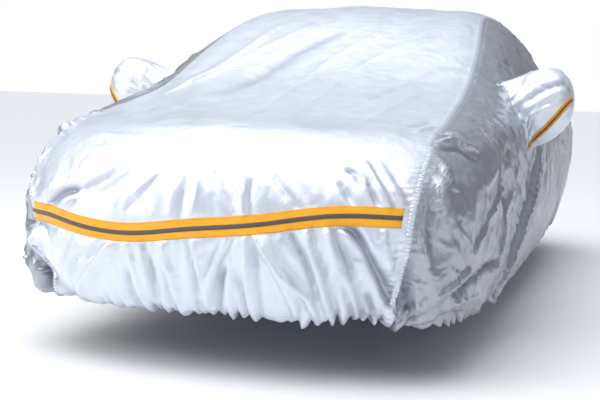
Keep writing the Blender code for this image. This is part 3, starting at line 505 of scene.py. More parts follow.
@dataclass
class Cloth:
    """The whole cover as one grid of points, rows from front to rear and columns from right to left hem."""

    form: Form
    seam: float = 1.0                # the centre panel's edges, across the form
    askew: float = 0.13              # the right front seam is this much further out
    askew_rows: tuple[float, float] = (0.90, 1.75)
    split: float = 3.42              # upright seam of the side panels, along the form
    hem_row: float = 0.094           # where along the form the front hem's edge is
    centre_columns: int = 172
    side_columns: int = 64
    hem_turn: float = 0.045
    turn_rise: float = 0.6
    full_turn: float = 0.20
    gather_top: float = 0.80
    seed: int = 11
    rows: Array = field(init=False)
    across: Array = field(init=False)
    points: Array = field(init=False)
    normals: Array = field(init=False)
    flat: Array = field(init=False)          # place of each point on the flat cloth, in metres
    wear_and_shade: Array = field(init=False)          # 0 in troughs, painted as shade; 0.5 where flat; 1 on crests, painted as rubbed wear

    def __post_init__(self) -> None:
        """Lays the grid over the form and pushes its folds in."""
        self.rows = self.row_places()
        self.across = self.column_places()
        base = self.form.points(self.rows[:, None], self.across) - REST
        normals = grid_normals(base)
        self.flat = self.flat_places(base)
        push = self.folds(base, normals)
        lift, wave = self.hem_gathers(base)
        push += wave
        push += self.seam_puckers()
        push = self.calmed(push)
        moved = base + normals * push[..., None]
        moved[..., 2] += lift
        self.points = moved
        self.points, self.across, self.flat, push = self.with_turned_hems(moved, push)
        self.normals = grid_normals(self.points)
        # Painted shade and wear: the finish darkens the troughs and lightens the crests from this measure.
        self.wear_and_shade = np.clip(0.5 + push / 0.05, 0, 1)

    @property
    def right_seam(self) -> int:
        """Column of the right seam."""
        return self.side_columns + TURN_COLUMNS

    @property
    def left_seam(self) -> int:
        """Column of the left seam."""
        return self.right_seam + self.centre_columns

    @property
    def split_row(self) -> int:
        """Row of the upright seam."""
        return self.row(self.split)

    def row(self, along: float) -> int:
        """Number of the row nearest to a place along the form."""
        return int(np.argmin(np.abs(self.rows - along)))

    def row_places(self) -> Array:
        """Rows, closest together over the front, with the band's edges and the upright seam among them."""
        low, stripe_low, stripe_high, high = BAND_ROWS
        rear_hem = self.form.length - REAR_EDGE
        spans = ((0.0, self.hem_row, 8), (self.hem_row, low, 66), (low, stripe_low, 5),
                 (stripe_low, stripe_high, 3), (stripe_high, high, 5), (high, 0.96, 62),
                 (0.96, 2.80, 140), (2.80, self.split, 36), (self.split, 5.20, 88),
                 (5.20, rear_hem, 70), (rear_hem, self.form.length, 7))
        parts = [np.linspace(start, end, count, endpoint=False) for start, end, count in spans]
        return np.concatenate([*parts, [self.form.length]])

    def column_places(self) -> Array:
        """Places across the form of every row's columns."""
        right = -self.seam - self.askew * np.interp(self.rows, self.askew_rows, (1, 0))
        made = []
        shares = np.linspace(0, 1, self.side_columns + 1)
        for seam in right:
            centre = np.linspace(seam, self.seam, self.centre_columns + 1)
            made.append([*(-2 + (seam + 2) * shares[:-1]), *centre,
                         *(self.seam + (2 - self.seam) * shares[1:])])
        return np.array(made)

    def flat_places(self, base: Array) -> Array:
        """Metres across and along the cloth of every point."""
        across = np.concatenate([np.zeros((len(base), 1)),
                                 np.cumsum(np.linalg.norm(np.diff(base, axis=1), axis=2), axis=1)], axis=1)
        middle = self.side_columns + self.centre_columns // 2
        across -= across[:, [middle]]
        along = np.concatenate([np.zeros((1, base.shape[1])),
                                np.cumsum(np.linalg.norm(np.diff(base, axis=0), axis=2), axis=0)])
        along -= along[[self.row(self.hem_row)]]
        return np.stack([across, along], axis=-1)

    def folds(self, base: Array, normals: Array) -> Array:
        """Push of every fold, and of the fine crumpling of the sides and apron."""
        points, flat_normals = base.reshape(-1, 3), normals.reshape(-1, 3)
        push = np.zeros(len(points))
        plan = [(fold, False) for fold in (*APRON_FOLDS, *NOSE_FOLDS, *TOP_FOLDS, *SIDE_FOLDS)]
        plan += [(fold, True) for fold in SIDE_FOLDS]
        for fold, mirrored in plan:
            near, pushed = fold_push(fold, mirrored, self.form, points, flat_normals)
            push[near] += pushed
        push = push.reshape(base.shape[:2])
        along = self.rows[:, None]
        side = smooth(np.abs(self.across), 1.0, 1.12)
        apron = 1 - smooth(along, 0.40, 0.46)
        nose = (1 - smooth(along, 0.62, 0.86)) * (1 - apron)
        calm_rear = 1 - 0.45 * smooth(along, 3.0, 3.5)
        tall = crumpled(base, np.array([0.16, 0.16, 0.26]), self.seed)
        small = crumpled(base + 4, np.array([0.07, 0.07, 0.10]), self.seed + 20)
        fine = crumpled(base + 9, np.array([0.10, 0.10, 0.30]), self.seed + 40)
        drift = noise(base / 0.55, self.seed + 60)
        push += side * calm_rear * (0.013 * tall + 0.0062 * small)
        push += (1 - side) * apron * (0.0085 * fine + 0.0035 * small)
        push += (1 - side) * nose * (0.0035 * fine + 0.0012 * small)
        push += (1 - side) * (1 - apron) * (1 - nose) * (0.0022 * tall + 0.0009 * small)
        push += 0.006 * drift * (1 - apron)
        return push

    def hem_gathers(self, base: Array) -> tuple[Array, Array]:
        """Small pleats that the elastic draws in along the hem.

        Args:
            base: the undisturbed points.

        Returns:
            How far the pleats lift the cloth, and how far they push it out.
        """
        lift = np.zeros(base.shape[:2])
        wave = np.zeros(base.shape[:2])
        edge = self.row(self.hem_row)
        rear = self.row(self.form.length - REAR_EDGE)
        across = self.flat[..., 0]
        draws = np.random.default_rng(self.seed)
        for side, row, height in ((1, edge, self.flat[..., 1]),
                                  (-1, rear, self.flat[rear, :, 1][None] - self.flat[..., 1])):
            hem = across[row][None] + 0 * across
            place = float(across[row].min())
            while place < across[row].max():
                place += draws.uniform(0.030, 0.058)
                size = draws.uniform(0.55, 1.25) * self.gather_share(place if side > 0 else 9.0)
                reach = draws.uniform(0.030, 0.085)
                lean = draws.uniform(-0.25, 0.25)
                gap = hem - place - lean * np.maximum(height, 0)
                near = np.abs(gap) < 0.05
                span = np.where(near, gap, 9)
                rise = np.exp(-np.maximum(height, 0) / reach) * (height < 0.4)
                wave -= 0.016 * size * np.exp(-(span / 0.0085) ** 2) * rise
                wave += 0.008 * size * np.exp(-((span - 0.019) / 0.011) ** 2) * rise
                lift += 0.016 * size * np.exp(-(span / 0.0075) ** 2) * np.exp(-np.maximum(height, 0) / 0.016)
        for column in (0, base.shape[1] - 1):
            height = np.abs(across - across[:, [column]])
            place = float(self.flat[edge, column, 1])
            length = self.flat[..., 1][:, [column]] + 0 * across
            while place < self.flat[rear, column, 1]:
                place += draws.uniform(0.040, 0.085)
                size = draws.uniform(0.4, 1.1)
                reach = draws.uniform(0.025, 0.075)
                gap = length - place
                span = np.where(np.abs(gap) < 0.06, gap, 9)
                rise = np.exp(-height / reach) * (height < 0.4)
                wave -= 0.012 * size * np.exp(-(span / 0.013) ** 2) * rise
                wave += 0.005 * size * np.exp(-((span - 0.026) / 0.015) ** 2) * rise
                lift += 0.008 * size * np.exp(-(span / 0.012) ** 2) * np.exp(-height / 0.016)
        fade = smooth(self.rows, 0.0, self.hem_row)[:, None]
        return lift * fade, wave

    @staticmethod
    def gather_share(across: float) -> float:
        """How strongly the front hem is gathered at a place across it; two stretches lie flat."""
        if -0.62 < across < -0.40 or 0.21 < across < 0.36:
            return 0.12
        return 1.25 if 0.36 <= across < 0.80 else 1.0

    def seam_puckers(self) -> Array:
        """Puckers beside the gathered corner strips and the dip of the sewn seams."""
        push = np.zeros(self.flat.shape[:2])
        length = self.flat[..., 1]
        jitter = noise(np.stack([length / 0.09, self.flat[..., 0] / 0.4, length * 0], -1), self.seed + 80)
        for column in (self.side_columns, self.side_columns + self.centre_columns):
            gap = np.abs(self.flat[..., 0] - self.flat[..., [column], 0])
            gathered = 1 - smooth(self.rows, self.gather_top - 0.06, self.gather_top + 0.08)[:, None]
            ripple = np.cos(2 * np.pi * length / 0.026 + 4.0 * jitter)
            push += gathered * 0.0038 * ripple * np.exp(-gap / 0.032) * (0.6 + 0.8 * np.abs(jitter))
            push -= (0.004 - 0.002 * gathered) * np.exp(-(gap / 0.008) ** 2)
            push += 0.0025 * np.exp(-((gap - 0.017) / 0.007) ** 2) * (1 - gathered)
        row = self.split_row
        gap = np.abs(length - length[[row]])
        push -= 0.004 * np.exp(-(gap / 0.010) ** 2) * (np.abs(self.across) > self.seam)
        return push

    def calmed(self, push: Array) -> Array:
        """The push, held flatter under the marker band, and carried on round the turned hems."""
        low, high = BAND_ROWS[0], BAND_ROWS[-1]
        along = self.rows[:, None]
        under = smooth(along, low - 0.014, low + 0.010) * (1 - smooth(along, high - 0.010, high + 0.014))
        edge = np.abs(self.flat[..., [self.side_columns + self.centre_columns], 0])
        centre = np.abs(self.flat[..., 0]) < edge + 0.1
        push = push * (1 - 0.72 * under * centre)
        for row, step in ((self.row(self.hem_row), -1), (self.row(self.form.length - REAR_EDGE), 1)):
            last = 0 if step < 0 else len(self.rows) - 1
            for k in range(row, last + step, step):
                share = abs(k - row) / abs(last - row)
                push[k] = push[row] * (1 - 0.6 * share)
        return push

    def with_turned_hems(self, points: Array, push: Array) -> tuple[Array, Array, Array, Array]:
        """Adds the turned-in columns to the side hems.

        Args:
            points: the points between the side hems.
            push: how far each was pushed out.

        Returns:
            Points, places across, flat places and pushes, each with TURN_COLUMNS more at either side.
        """
        flat = self.flat
        extra = {"points": [], "across": [], "flat": [], "push": []}
        for column, above, sign in ((0, 6, -1), (-1, -7, 1)):
            hem = points[:, column]
            rib = np.linalg.norm(points[:, above] - hem, axis=1) * self.side_columns / 6
            width = self.hem_turn * np.minimum(1, rib / self.full_turn)
            inward = -self.form.outward(hem + REST)
            turned = []
            for k in range(1, TURN_COLUMNS + 1):
                share = k / TURN_COLUMNS
                rise = np.array([0, 0, self.turn_rise]) * share
                drop = np.array([0, 0, -0.10]) * math.sin(math.pi * share)
                turned.append(hem + inward * (width * share)[:, None] + (rise + drop) * width[:, None])
            order = turned[::-1] if sign < 0 else turned
            extra["points"].append(np.stack(order, axis=1))
            steps = np.arange(1, TURN_COLUMNS + 1) / TURN_COLUMNS
            steps = steps[::-1] if sign < 0 else steps
            extra["across"].append(np.broadcast_to(sign * (2 + 0.1 * steps), (len(hem), TURN_COLUMNS)))
            moved = flat[:, [column]] + np.stack([sign * self.hem_turn * steps, 0 * steps], -1)[None]
            extra["flat"].append(moved)
            extra["push"].append(np.repeat(push[:, [column]], TURN_COLUMNS, axis=1))
        joined = [np.concatenate([extra[name][0], middle, extra[name][1]], axis=1)
                  for name, middle in (("points", points), ("across", self.across), ("flat", flat),
                                       ("push", push))]
        return joined[0], joined[1], joined[2], joined[3]


def grid_normals(points: Array) -> Array:
    """Outward normals of a grid of points, rows to the rear and columns to the left."""
    return unit(np.cross(np.gradient(points, axis=1), np.gradient(points, axis=0)))


# ---------------------------------------------------------------------------- meshes
@dataclass
class Patch:
    """A grid of points with what its finish reads: flat places, and rubbed wear with painted trough shade."""

    points: Array
    flat: Array
    wear_and_shade: Array
    ring: bool = False

    def mesh(self, name: str, keep: Optional[Array] = None) -> bpy.types.Object:
        """Makes the grid a smooth mesh.

        Args:
            name: the piece's name.
            keep: which of the grid's cells are kept, or None for all.

        Returns:
            The piece, at the origin.
        """
        rows, columns = self.points.shape[:2]
        spans = columns if self.ring else columns - 1
        r, k = np.meshgrid(np.arange(rows - 1), np.arange(spans), indexing="ij")
        if keep is not None:
            r, k = r[keep], k[keep]
        a = (r * columns + k).ravel()
        b = (r * columns + (k + 1) % columns).ravel()
        faces = np.stack([a, b, b + columns, a + columns], axis=1)
        return mesh_piece(name, self.points.reshape(-1, 3), faces, self.flat.reshape(-1, 2),
                          self.wear_and_shade.ravel())


def mesh_piece(name: str, points: Array, faces: Array, flat: Array, wear_and_shade: Array) -> bpy.types.Object:
    """Makes a piece of quads, with a UV map in metres and an attribute for rubbed wear and painted shade.

    Args:
        name: the piece's name.
        points: its points.
        faces: four point numbers for each face, turning left as seen from outside.
        flat: place of each point on the flat cloth.
        wear_and_shade: of each point, low in troughs, which the finish paints darker as shade, and high on rubbed
            crests.

    Returns:
        The piece, linked to the scene.
    """
    used = np.unique(faces)
    renumber = np.full(len(points), -1)
    renumber[used] = np.arange(len(used))
    points, flat, wear_and_shade, faces = points[used], flat[used], wear_and_shade[used], renumber[faces]
    mesh = bpy.data.meshes.new(name)
    mesh.vertices.add(len(points))
    mesh.vertices.foreach_set("co", points.astype(np.float32).ravel())
    mesh.loops.add(faces.size)
    mesh.loops.foreach_set("vertex_index", faces.astype(np.int32).ravel())
    mesh.polygons.add(len(faces))
    mesh.polygons.foreach_set("loop_start", np.arange(0, faces.size, 4, dtype=np.int32))
    mesh.update(calc_edges=True)
    mesh.polygons.foreach_set("use_smooth", np.ones(len(faces), bool))
    layer = mesh.uv_layers.new(name="cloth")
    layer.data.foreach_set("uv", flat[faces.ravel()].astype(np.float32).ravel())
    made = mesh.attributes.new("wear_and_shade", "FLOAT", "POINT")
    made.data.foreach_set("value", wear_and_shade.astype(np.float32))
    mesh.validate()
    piece = bpy.data.objects.new(name, mesh)
    bpy.context.scene.collection.objects.link(piece)
    return piece


def strip_patch(points: Array, normals: Array, flat: Array, lift: float, sunk: float,
                crown: float = 0.0) -> Patch:
    """A strip sewn on the cloth: its face, and edges that run down into the cloth.

    Args:
        points: the cloth's points under the strip.
        normals: its normals.
        flat: flat places.
        lift: height of the strip's face above the cloth.
        sunk: how far its edges reach below the cloth's face.
        crown: how much higher the face is in the middle of the columns' direction.

    Returns:
        The strip, with one more row and column at every edge.
    """
    rows, columns = points.shape[:2]
    r = np.concatenate([[0], np.arange(rows), [rows - 1]])
    k = np.concatenate([[0], np.arange(columns), [columns - 1]])
    heights = np.full((rows + 2, columns + 2), lift)
    heights[1:-1, 1:-1] += crown * np.sin(np.pi * np.linspace(0, 1, rows))[:, None]
    heights[[0, -1]] = -sunk
    heights[:, [0, -1]] = -sunk
    window = np.ix_(r, k)
    face = points[window] + normals[window] * heights[..., None]
    return Patch(face, flat[window], np.full(heights.shape, 0.5))


# ---------------------------------------------------------------------------- finishes
class Wiring:
    """Short ways to put nodes into a material."""

    def __init__(self, name: str) -> None:
        """Starts a material with its shader."""
        self.material = bpy.data.materials.new(name)
        self.material.use_nodes = True
        self.tree = self.material.node_tree
        self.shader = self.tree.nodes["Principled BSDF"]

    def node(self, kind: str, inputs: Optional[dict] = None, **settings: object) -> bpy.types.Node:
        """Adds a node.

        Args:
            kind: its type.
            inputs: values or sockets for its inputs, by name or number.
            settings: its own properties.

        Returns:
            The node.
        """
        made = self.tree.nodes.new(kind)
        for name, value in settings.items():
            setattr(made, name, value)
        for key, value in (inputs or {}).items():
            self.put(made.inputs[key], value)
        return made

    def put(self, socket: bpy.types.NodeSocket, value: object) -> None:
        """Gives a socket a value or links another socket to it."""
        if isinstance(value, bpy.types.NodeSocket):
            self.tree.links.new(value, socket)
        else:
            socket.default_value = value

    def math(self, operation: str, *values: object) -> bpy.types.NodeSocket:
        """A Math node's result."""
        return self.node("ShaderNodeMath", dict(enumerate(values)), operation=operation).outputs[0]

    def noise(self, vector: bpy.types.NodeSocket, scale: float, detail: float = 3.0,
              roughness: float = 0.5) -> bpy.types.NodeSocket:
        """A noise texture's value."""
        inputs = {"Vector": vector, "Scale": scale, "Detail": detail, "Roughness": roughness}
        return self.node("ShaderNodeTexNoise", inputs).outputs[0]

    def between(self, value: bpy.types.NodeSocket, low: float, high: float, start: float,
                end: float) -> bpy.types.NodeSocket:
        """A value brought from one range to another."""
        inputs = {"Value": value, "From Min": low, "From Max": high, "To Min": start, "To Max": end}
        return self.node("ShaderNodeMapRange", inputs).outputs[0]

    def mix(self, share: object, first: object, second: object) -> bpy.types.NodeSocket:
        """A blend of two colours."""
        made = self.node("ShaderNodeMix", data_type="RGBA")
        for socket, value in zip((made.inputs[0], made.inputs[6], made.inputs[7]), (share, first, second)):
            self.put(socket, value)
        return made.outputs[2]

    def bump(self, height: bpy.types.NodeSocket, distance: float,
             onto: Optional[bpy.types.NodeSocket] = None) -> bpy.types.NodeSocket:
        """A bump of the given height in metres, on top of another."""
        inputs = {"Height": height, "Distance": distance, "Strength": 1.0}
        if onto is not None:
            inputs["Normal"] = onto
        return self.node("ShaderNodeBump", inputs).outputs[0]


@dataclass(frozen=True)
class CoatedCloth:
    """Woven polyester with an aluminium coating: weave, crumples, dull crests, painted shade darkening the fold
    troughs, and faint stains.
    """

    name: str
    colour: tuple[float, float, float]
    # trough: the colour of the shade painted into the fold troughs
    trough: tuple[float, float, float]
    roughness: tuple[float, float]
    metallic: float
    crumple: float                   # height of the fine crumples, in metres
    weave_pitch: float = 0.0016
    weave_height: float = 0.00005

    def build(self) -> bpy.types.Material:
        """Makes the material."""
        w = Wiring(self.name)
        place = w.node("ShaderNodeTexCoord").outputs["Object"]
        flat = w.node("ShaderNodeUVMap", uv_map="cloth").outputs[0]
        wear_and_shade = w.node("ShaderNodeAttribute", attribute_name="wear_and_shade").outputs["Fac"]
        stain = w.noise(place, 2.4, 4.0, 0.55)
        patch = w.noise(place, 11.0, 3.0)
        # Painted shade: where the fold measure is low, in the troughs, the colour darkens towards the trough colour.
        trough_shade_share = w.between(wear_and_shade, 0.05, 0.5, 0.0, 1.0)
        base = w.mix(trough_shade_share, (*self.trough, 1), (*self.colour, 1))
        dusty = w.between(stain, 0.42, 0.72, 0.0, 0.22)
        base = w.mix(dusty, base, (*(c * 0.86 for c in self.colour), 1))
        rubbed = w.math("MULTIPLY", w.between(wear_and_shade, 0.72, 1.0, 0.0, 0.5),
                        w.between(patch, 0.4, 0.7, 0.2, 1.0))
        base = w.mix(rubbed, base, (*(min(1, c * 1.16) for c in self.colour), 1))
        w.put(w.shader.inputs["Base Color"], base)
        w.put(w.shader.inputs["Metallic"], self.metallic)
        w.put(w.shader.inputs["Roughness"], w.between(patch, 0.3, 0.7, *self.roughness))
        w.put(w.shader.inputs["Sheen Weight"], 0.12)
        w.put(w.shader.inputs["Sheen Roughness"], 0.4)
        warped = w.node("ShaderNodeVectorMath", {0: place}, operation="MULTIPLY")
        warped.inputs[1].default_value = (1.0, 1.0, 0.6)
        ridges = w.node("ShaderNodeTexVoronoi",
                        {"Vector": warped.outputs[0], "Scale": 24.0, "Randomness": 1.0},
                        feature="F1").outputs["Distance"]
        creases = w.math("ABSOLUTE", w.math("SUBTRACT", w.noise(warped.outputs[0], 19.0, 3.0, 0.6), 0.5))
        folds = w.math("ADD", w.math("MULTIPLY", ridges, 0.5), w.math("MULTIPLY", creases, 2.2))
        normal = w.bump(folds, self.crumple)
        normal = w.bump(self.weave(w, flat), self.weave_height, normal)
        w.put(w.shader.inputs["Normal"], normal)
        return w.material

    def weave(self, w: Wiring, flat: bpy.types.NodeSocket) -> bpy.types.NodeSocket:
        """Height of the plain weave: warp and weft waves at right angles."""
        scale = math.pi / self.weave_pitch
        split = w.node("ShaderNodeSeparateXYZ", {0: flat})
        warp = w.math("SINE", w.math("MULTIPLY", split.outputs[0], scale))
        weft = w.math("SINE", w.math("MULTIPLY", split.outputs[1], scale))
        return w.math("MULTIPLY", warp, weft)


@dataclass(frozen=True)
class WovenTape:
    """Tape with ribs across it, thinner at its selvages."""

    name: str
    colour: tuple[float, float, float]
    shade: tuple[float, float, float]
    roughness: float
    rib: float = 0.0022
    rib_height: float = 0.00025
    metallic: float = 0.0

    def build(self) -> bpy.types.Material:
        """Makes the material."""
        w = Wiring(self.name)
        place = w.node("ShaderNodeTexCoord").outputs["Object"]
        flat = w.node("ShaderNodeUVMap", uv_map="cloth").outputs[0]
        split = w.node("ShaderNodeSeparateXYZ", {0: flat})
        scale = 2 * math.pi / self.rib
        slant = w.math("ADD", split.outputs[0], w.math("MULTIPLY", split.outputs[1], 0.6))
        twill = w.math("SINE", w.math("MULTIPLY", slant, scale))
        weft = w.math("SINE", w.math("MULTIPLY", split.outputs[1], scale * 1.4))
        height = w.math("ADD", twill, w.math("MULTIPLY", weft, 0.4))
        stain = w.noise(place, 9.0, 4.0)
        base = w.mix(w.between(stain, 0.35, 0.75, 0.0, 0.55), (*self.colour, 1), (*self.shade, 1))
        # Painted shade: the low furrows of the weave are darkened.
        base = w.mix(w.between(height, -1.2, 0.2, 0.30, 0.0), base, (*(c * 0.7 for c in self.shade), 1))
        w.put(w.shader.inputs["Base Color"], base)
        w.put(w.shader.inputs["Metallic"], self.metallic)
        w.put(w.shader.inputs["Roughness"], w.between(stain, 0.3, 0.7, self.roughness - 0.06,
                                                      self.roughness + 0.06))
        w.put(w.shader.inputs["Sheen Weight"], 0.15)
        w.put(w.shader.inputs["Normal"], w.bump(height, self.rib_height))
        return w.material


@dataclass(frozen=True)
class Thread:
    """Twisted sewing thread."""

    name: str
    colour: tuple[float, float, float]

    def build(self) -> bpy.types.Material:
        """Makes the material."""
        w = Wiring(self.name)
        place = w.node("ShaderNodeTexCoord").outputs["Object"]
        fuzz = w.noise(place, 900.0, 2.0)
        shade = (*(c * 0.72 for c in self.colour), 1)
        w.put(w.shader.inputs["Base Color"], w.mix(w.between(fuzz, 0.3, 0.7, 0.0, 1.0), (*self.colour, 1),
                                                   shade))
        w.put(w.shader.inputs["Roughness"], 0.75)
        w.put(w.shader.inputs["Normal"], w.bump(fuzz, 0.0002))
        return w.material


@dataclass(frozen=True)
class StageFinish:
    """Plain pale floor."""

    name: str
    colour: tuple[float, float, float]

    def build(self) -> bpy.types.Material:
        """Makes the material."""
        w = Wiring(self.name)
        w.put(w.shader.inputs["Base Color"], (*self.colour, 1))
        w.put(w.shader.inputs["Roughness"], 0.9)
        w.put(w.shader.inputs["Specular IOR Level"], 0.1)
        return w.material


class Finishes:
    """Every material of the cover, made once."""

    def __init__(self) -> None:
        """Makes the materials."""
        # The second colour of each cloth is the painted shade of its fold troughs.
        self.top = CoatedCloth("silver_top_cloth", (0.70, 0.745, 0.83), (0.40, 0.42, 0.50), (0.34, 0.44),
                               0.60, 0.0012).build()
        self.side = CoatedCloth("silver_side_cloth", (0.40, 0.42, 0.465), (0.15, 0.16, 0.20), (0.27, 0.38),
                                0.72, 0.0034).build()
        self.yellow = WovenTape("marker_tape", (1.0, 0.47, 0.008), (0.93, 0.38, 0.004), 0.55).build()
        self.dark = WovenTape("marker_stripe", (0.095, 0.075, 0.062), (0.06, 0.048, 0.04), 0.42, 0.0030,
                              0.0002).build()
        self.thread = Thread("silver_thread", (0.66, 0.68, 0.74)).build()
        self.gold_thread = Thread("gold_thread", (0.80, 0.36, 0.03)).build()


# ---------------------------------------------------------------------------- stitches
class StitchTree:
    """Geometry Nodes that lay one running stitch after another along a path."""

    def __init__(self) -> None:
        """Builds the tree with its named inputs."""
        self.tree = bpy.data.node_groups.new("running_stitch", "GeometryNodeTree")
        face = self.tree.interface
        face.new_socket("Path", in_out="INPUT", socket_type="NodeSocketGeometry")
        self.pitch = face.new_socket("Pitch", in_out="INPUT", socket_type="NodeSocketFloat").identifier
        self.length = face.new_socket("Stitch Length", in_out="INPUT",
                                      socket_type="NodeSocketFloat").identifier
        self.radius = face.new_socket("Thread Radius", in_out="INPUT",
                                      socket_type="NodeSocketFloat").identifier
        self.finish = face.new_socket("Thread Finish", in_out="INPUT",
                                      socket_type="NodeSocketMaterial").identifier
        face.new_socket("Stitches", in_out="OUTPUT", socket_type="NodeSocketGeometry")
        add, link = self.tree.nodes.new, self.tree.links.new
        given, result = add("NodeGroupInput"), add("NodeGroupOutput")
        curve, spaced = add("GeometryNodeMeshToCurve"), add("GeometryNodeResampleCurve")
        spaced.mode = "LENGTH"
        thread, placed = add("GeometryNodeMeshUVSphere"), add("GeometryNodeInstanceOnPoints")
        thread.inputs["Segments"].default_value = 6
        thread.inputs["Rings"].default_value = 4
        size = add("ShaderNodeCombineXYZ")
        half = add("ShaderNodeMath")
        half.operation = "MULTIPLY"
        half.inputs[1].default_value = 0.5
        turned, tangent = add("FunctionNodeAlignRotationToVector"), add("GeometryNodeInputTangent")
        turned.axis = "Z"
        rounded, joined = add("GeometryNodeSetShadeSmooth"), add("GeometryNodeRealizeInstances")
        dressed = add("GeometryNodeSetMaterial")
        link(given.outputs["Path"], curve.inputs["Mesh"])
        link(curve.outputs[0], spaced.inputs["Curve"])
        link(given.outputs["Pitch"], spaced.inputs["Length"])
        link(spaced.outputs[0], placed.inputs["Points"])
        link(thread.outputs["Mesh"], rounded.inputs["Geometry"])
        link(rounded.outputs[0], placed.inputs["Instance"])
        link(tangent.outputs[0], turned.inputs["Vector"])
        link(turned.outputs[0], placed.inputs["Rotation"])
        link(given.outputs["Thread Radius"], size.inputs[0])
        link(given.outputs["Thread Radius"], size.inputs[1])
        link(given.outputs["Stitch Length"], half.inputs[0])
        link(half.outputs[0], size.inputs[2])
        link(size.outputs[0], placed.inputs["Scale"])
        link(placed.outputs[0], joined.inputs[0])
        link(joined.outputs[0], dressed.inputs["Geometry"])
        link(given.outputs["Thread Finish"], dressed.inputs["Material"])
        link(dressed.outputs[0], result.inputs["Stitches"])

    def sew(self, name: str, paths: Iterable[Array], material: bpy.types.Material, pitch: float = 0.011,
            length: float = 0.0075, radius: float = 0.0009) -> bpy.types.Object:
        """Sews along some paths.

        Args:
            name: the piece's name.
            paths: points of each path.
            material: the thread's finish.
            pitch: from one stitch to the next.
            length: of a stitch.
            radius: of the thread.

        Returns:
            All the stitches as one plain mesh.
        """
        points, edges = [], []
        for path in paths:
            start = len(points)
            points.extend(map(tuple, path))
            edges.extend((start + k, start + k + 1) for k in range(len(path) - 1))
        mesh = bpy.data.meshes.new(name + "_path")
        mesh.from_pydata(points, edges, [])
        path_piece = bpy.data.objects.new(name + "_path", mesh)
        bpy.context.scene.collection.objects.link(path_piece)
        modifier = path_piece.modifiers.new("stitches", "NODES")
        modifier.node_group = self.tree
        modifier[self.pitch], modifier[self.length] = pitch, length
        modifier[self.radius], modifier[self.finish] = radius, material
        bpy.context.view_layer.update()
        seen = path_piece.evaluated_get(bpy.context.evaluated_depsgraph_get())
        made = bpy.data.meshes.new_from_object(seen)
        made.name = name
        path_piece.modifiers.remove(modifier)
        bpy.data.objects.remove(path_piece)
        piece = bpy.data.objects.new(name, made)
        bpy.context.scene.collection.objects.link(piece)
        return piece


# ---------------------------------------------------------------------------- sub-assemblies
@dataclass
class Dresser:
    """Dresses finished pieces: finish, body, replaced node, and a report of each."""

    pieces: list[bpy.types.Object] = field(default_factory=list)

    def dress(self, piece: bpy.types.Object, material: bpy.types.Material, slot: str,
              node: Optional[str] = None) -> bpy.types.Object:
        """Gives a piece its finish and its body, and hides the CAD node that it stands for.

        Args:
            piece: the piece.
            material: its finish.
            slot: the material slot's name; not used.
            node: the CAD node that it stands for, if any.

        Returns:
            The piece.
        """
        if not piece.data.materials:
            piece.data.materials.append(material)
        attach(piece, "root")
        if node:
            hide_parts(node)
        self.pieces.append(piece)
        LOG.info("%s: %d faces", piece.name, len(piece.data.polygons))
        return piece


@dataclass
class Panels:
    """The five sewn panels of the cover."""

    cloth: Cloth
    finishes: Finishes
    dresser: Dresser
    slit_top: float = 1.86
    slit_gap: float = 0.009

    def build(self, pockets: "MirrorPockets") -> dict[str, bpy.types.Object]:
        """Makes and dresses the panels.

        Args:
            pockets: the mirror pockets, which say where the front side panels are cut.

        Returns:
            The panels by name.
        """
        made = {"centre_panel": self.panel("centre_panel", slice(0, None), self.centre_window())}
        self.dresser.dress(made["centre_panel"], self.finishes.top, "silver_top", "centre_panel")
        split = self.cloth.split_row
        for side, window in (("left", slice(self.cloth.left_seam, None)),
                             ("right", slice(0, self.cloth.right_seam + 1))):
            for place, rows in (("front", slice(0, split + 1)), ("rear", slice(split, None))):
                name = f"side_{place}_{side}"
                made[name] = self.panel(name, rows, window, pockets if place == "front" else None)
                self.dresser.dress(made[name], self.finishes.side, "silver_side", name)
        return made

    def centre_window(self) -> slice:
        """Columns of the centre panel."""
        return slice(self.cloth.right_seam, self.cloth.left_seam + 1)

    def panel(self, name: str, rows: slice, columns: slice,
              pockets: Optional["MirrorPockets"] = None) -> bpy.types.Object:
        """One panel.

        Args:
            name: its name.
            rows: its rows of the cloth's grid.
            columns: its columns.
            pockets: where the mirror's hole is, for a front side panel.

        Returns:
            The piece.
        """
        points = self.cloth.points[rows, columns].copy()
        if name.startswith("side"):
            self.open_slit(points, self.cloth.across[rows, columns], "front" in name)
        keep = None
        if pockets is not None:
            keep = pockets.cut(points)
        patch = Patch(points, self.cloth.flat[rows, columns], self.cloth.wear_and_shade[rows, columns])
        return patch.mesh(f"{name}_cloth", keep)

    def open_slit(self, points: Array, across: Array, front: bool) -> None:
        """Parts the upright seam towards the hem, with its edges curled a little."""
        last, before = (-1, -2) if front else (0, 1)
        share = np.clip((np.abs(across[last]) - self.slit_top) / (2 - self.slit_top), 0, 1)
        away = unit(points[before] - points[last])
        for k in range(6):
            row = last - k if front else last + k
            points[row] += away * (share * self.slit_gap * (1 - k / 6))[:, None]


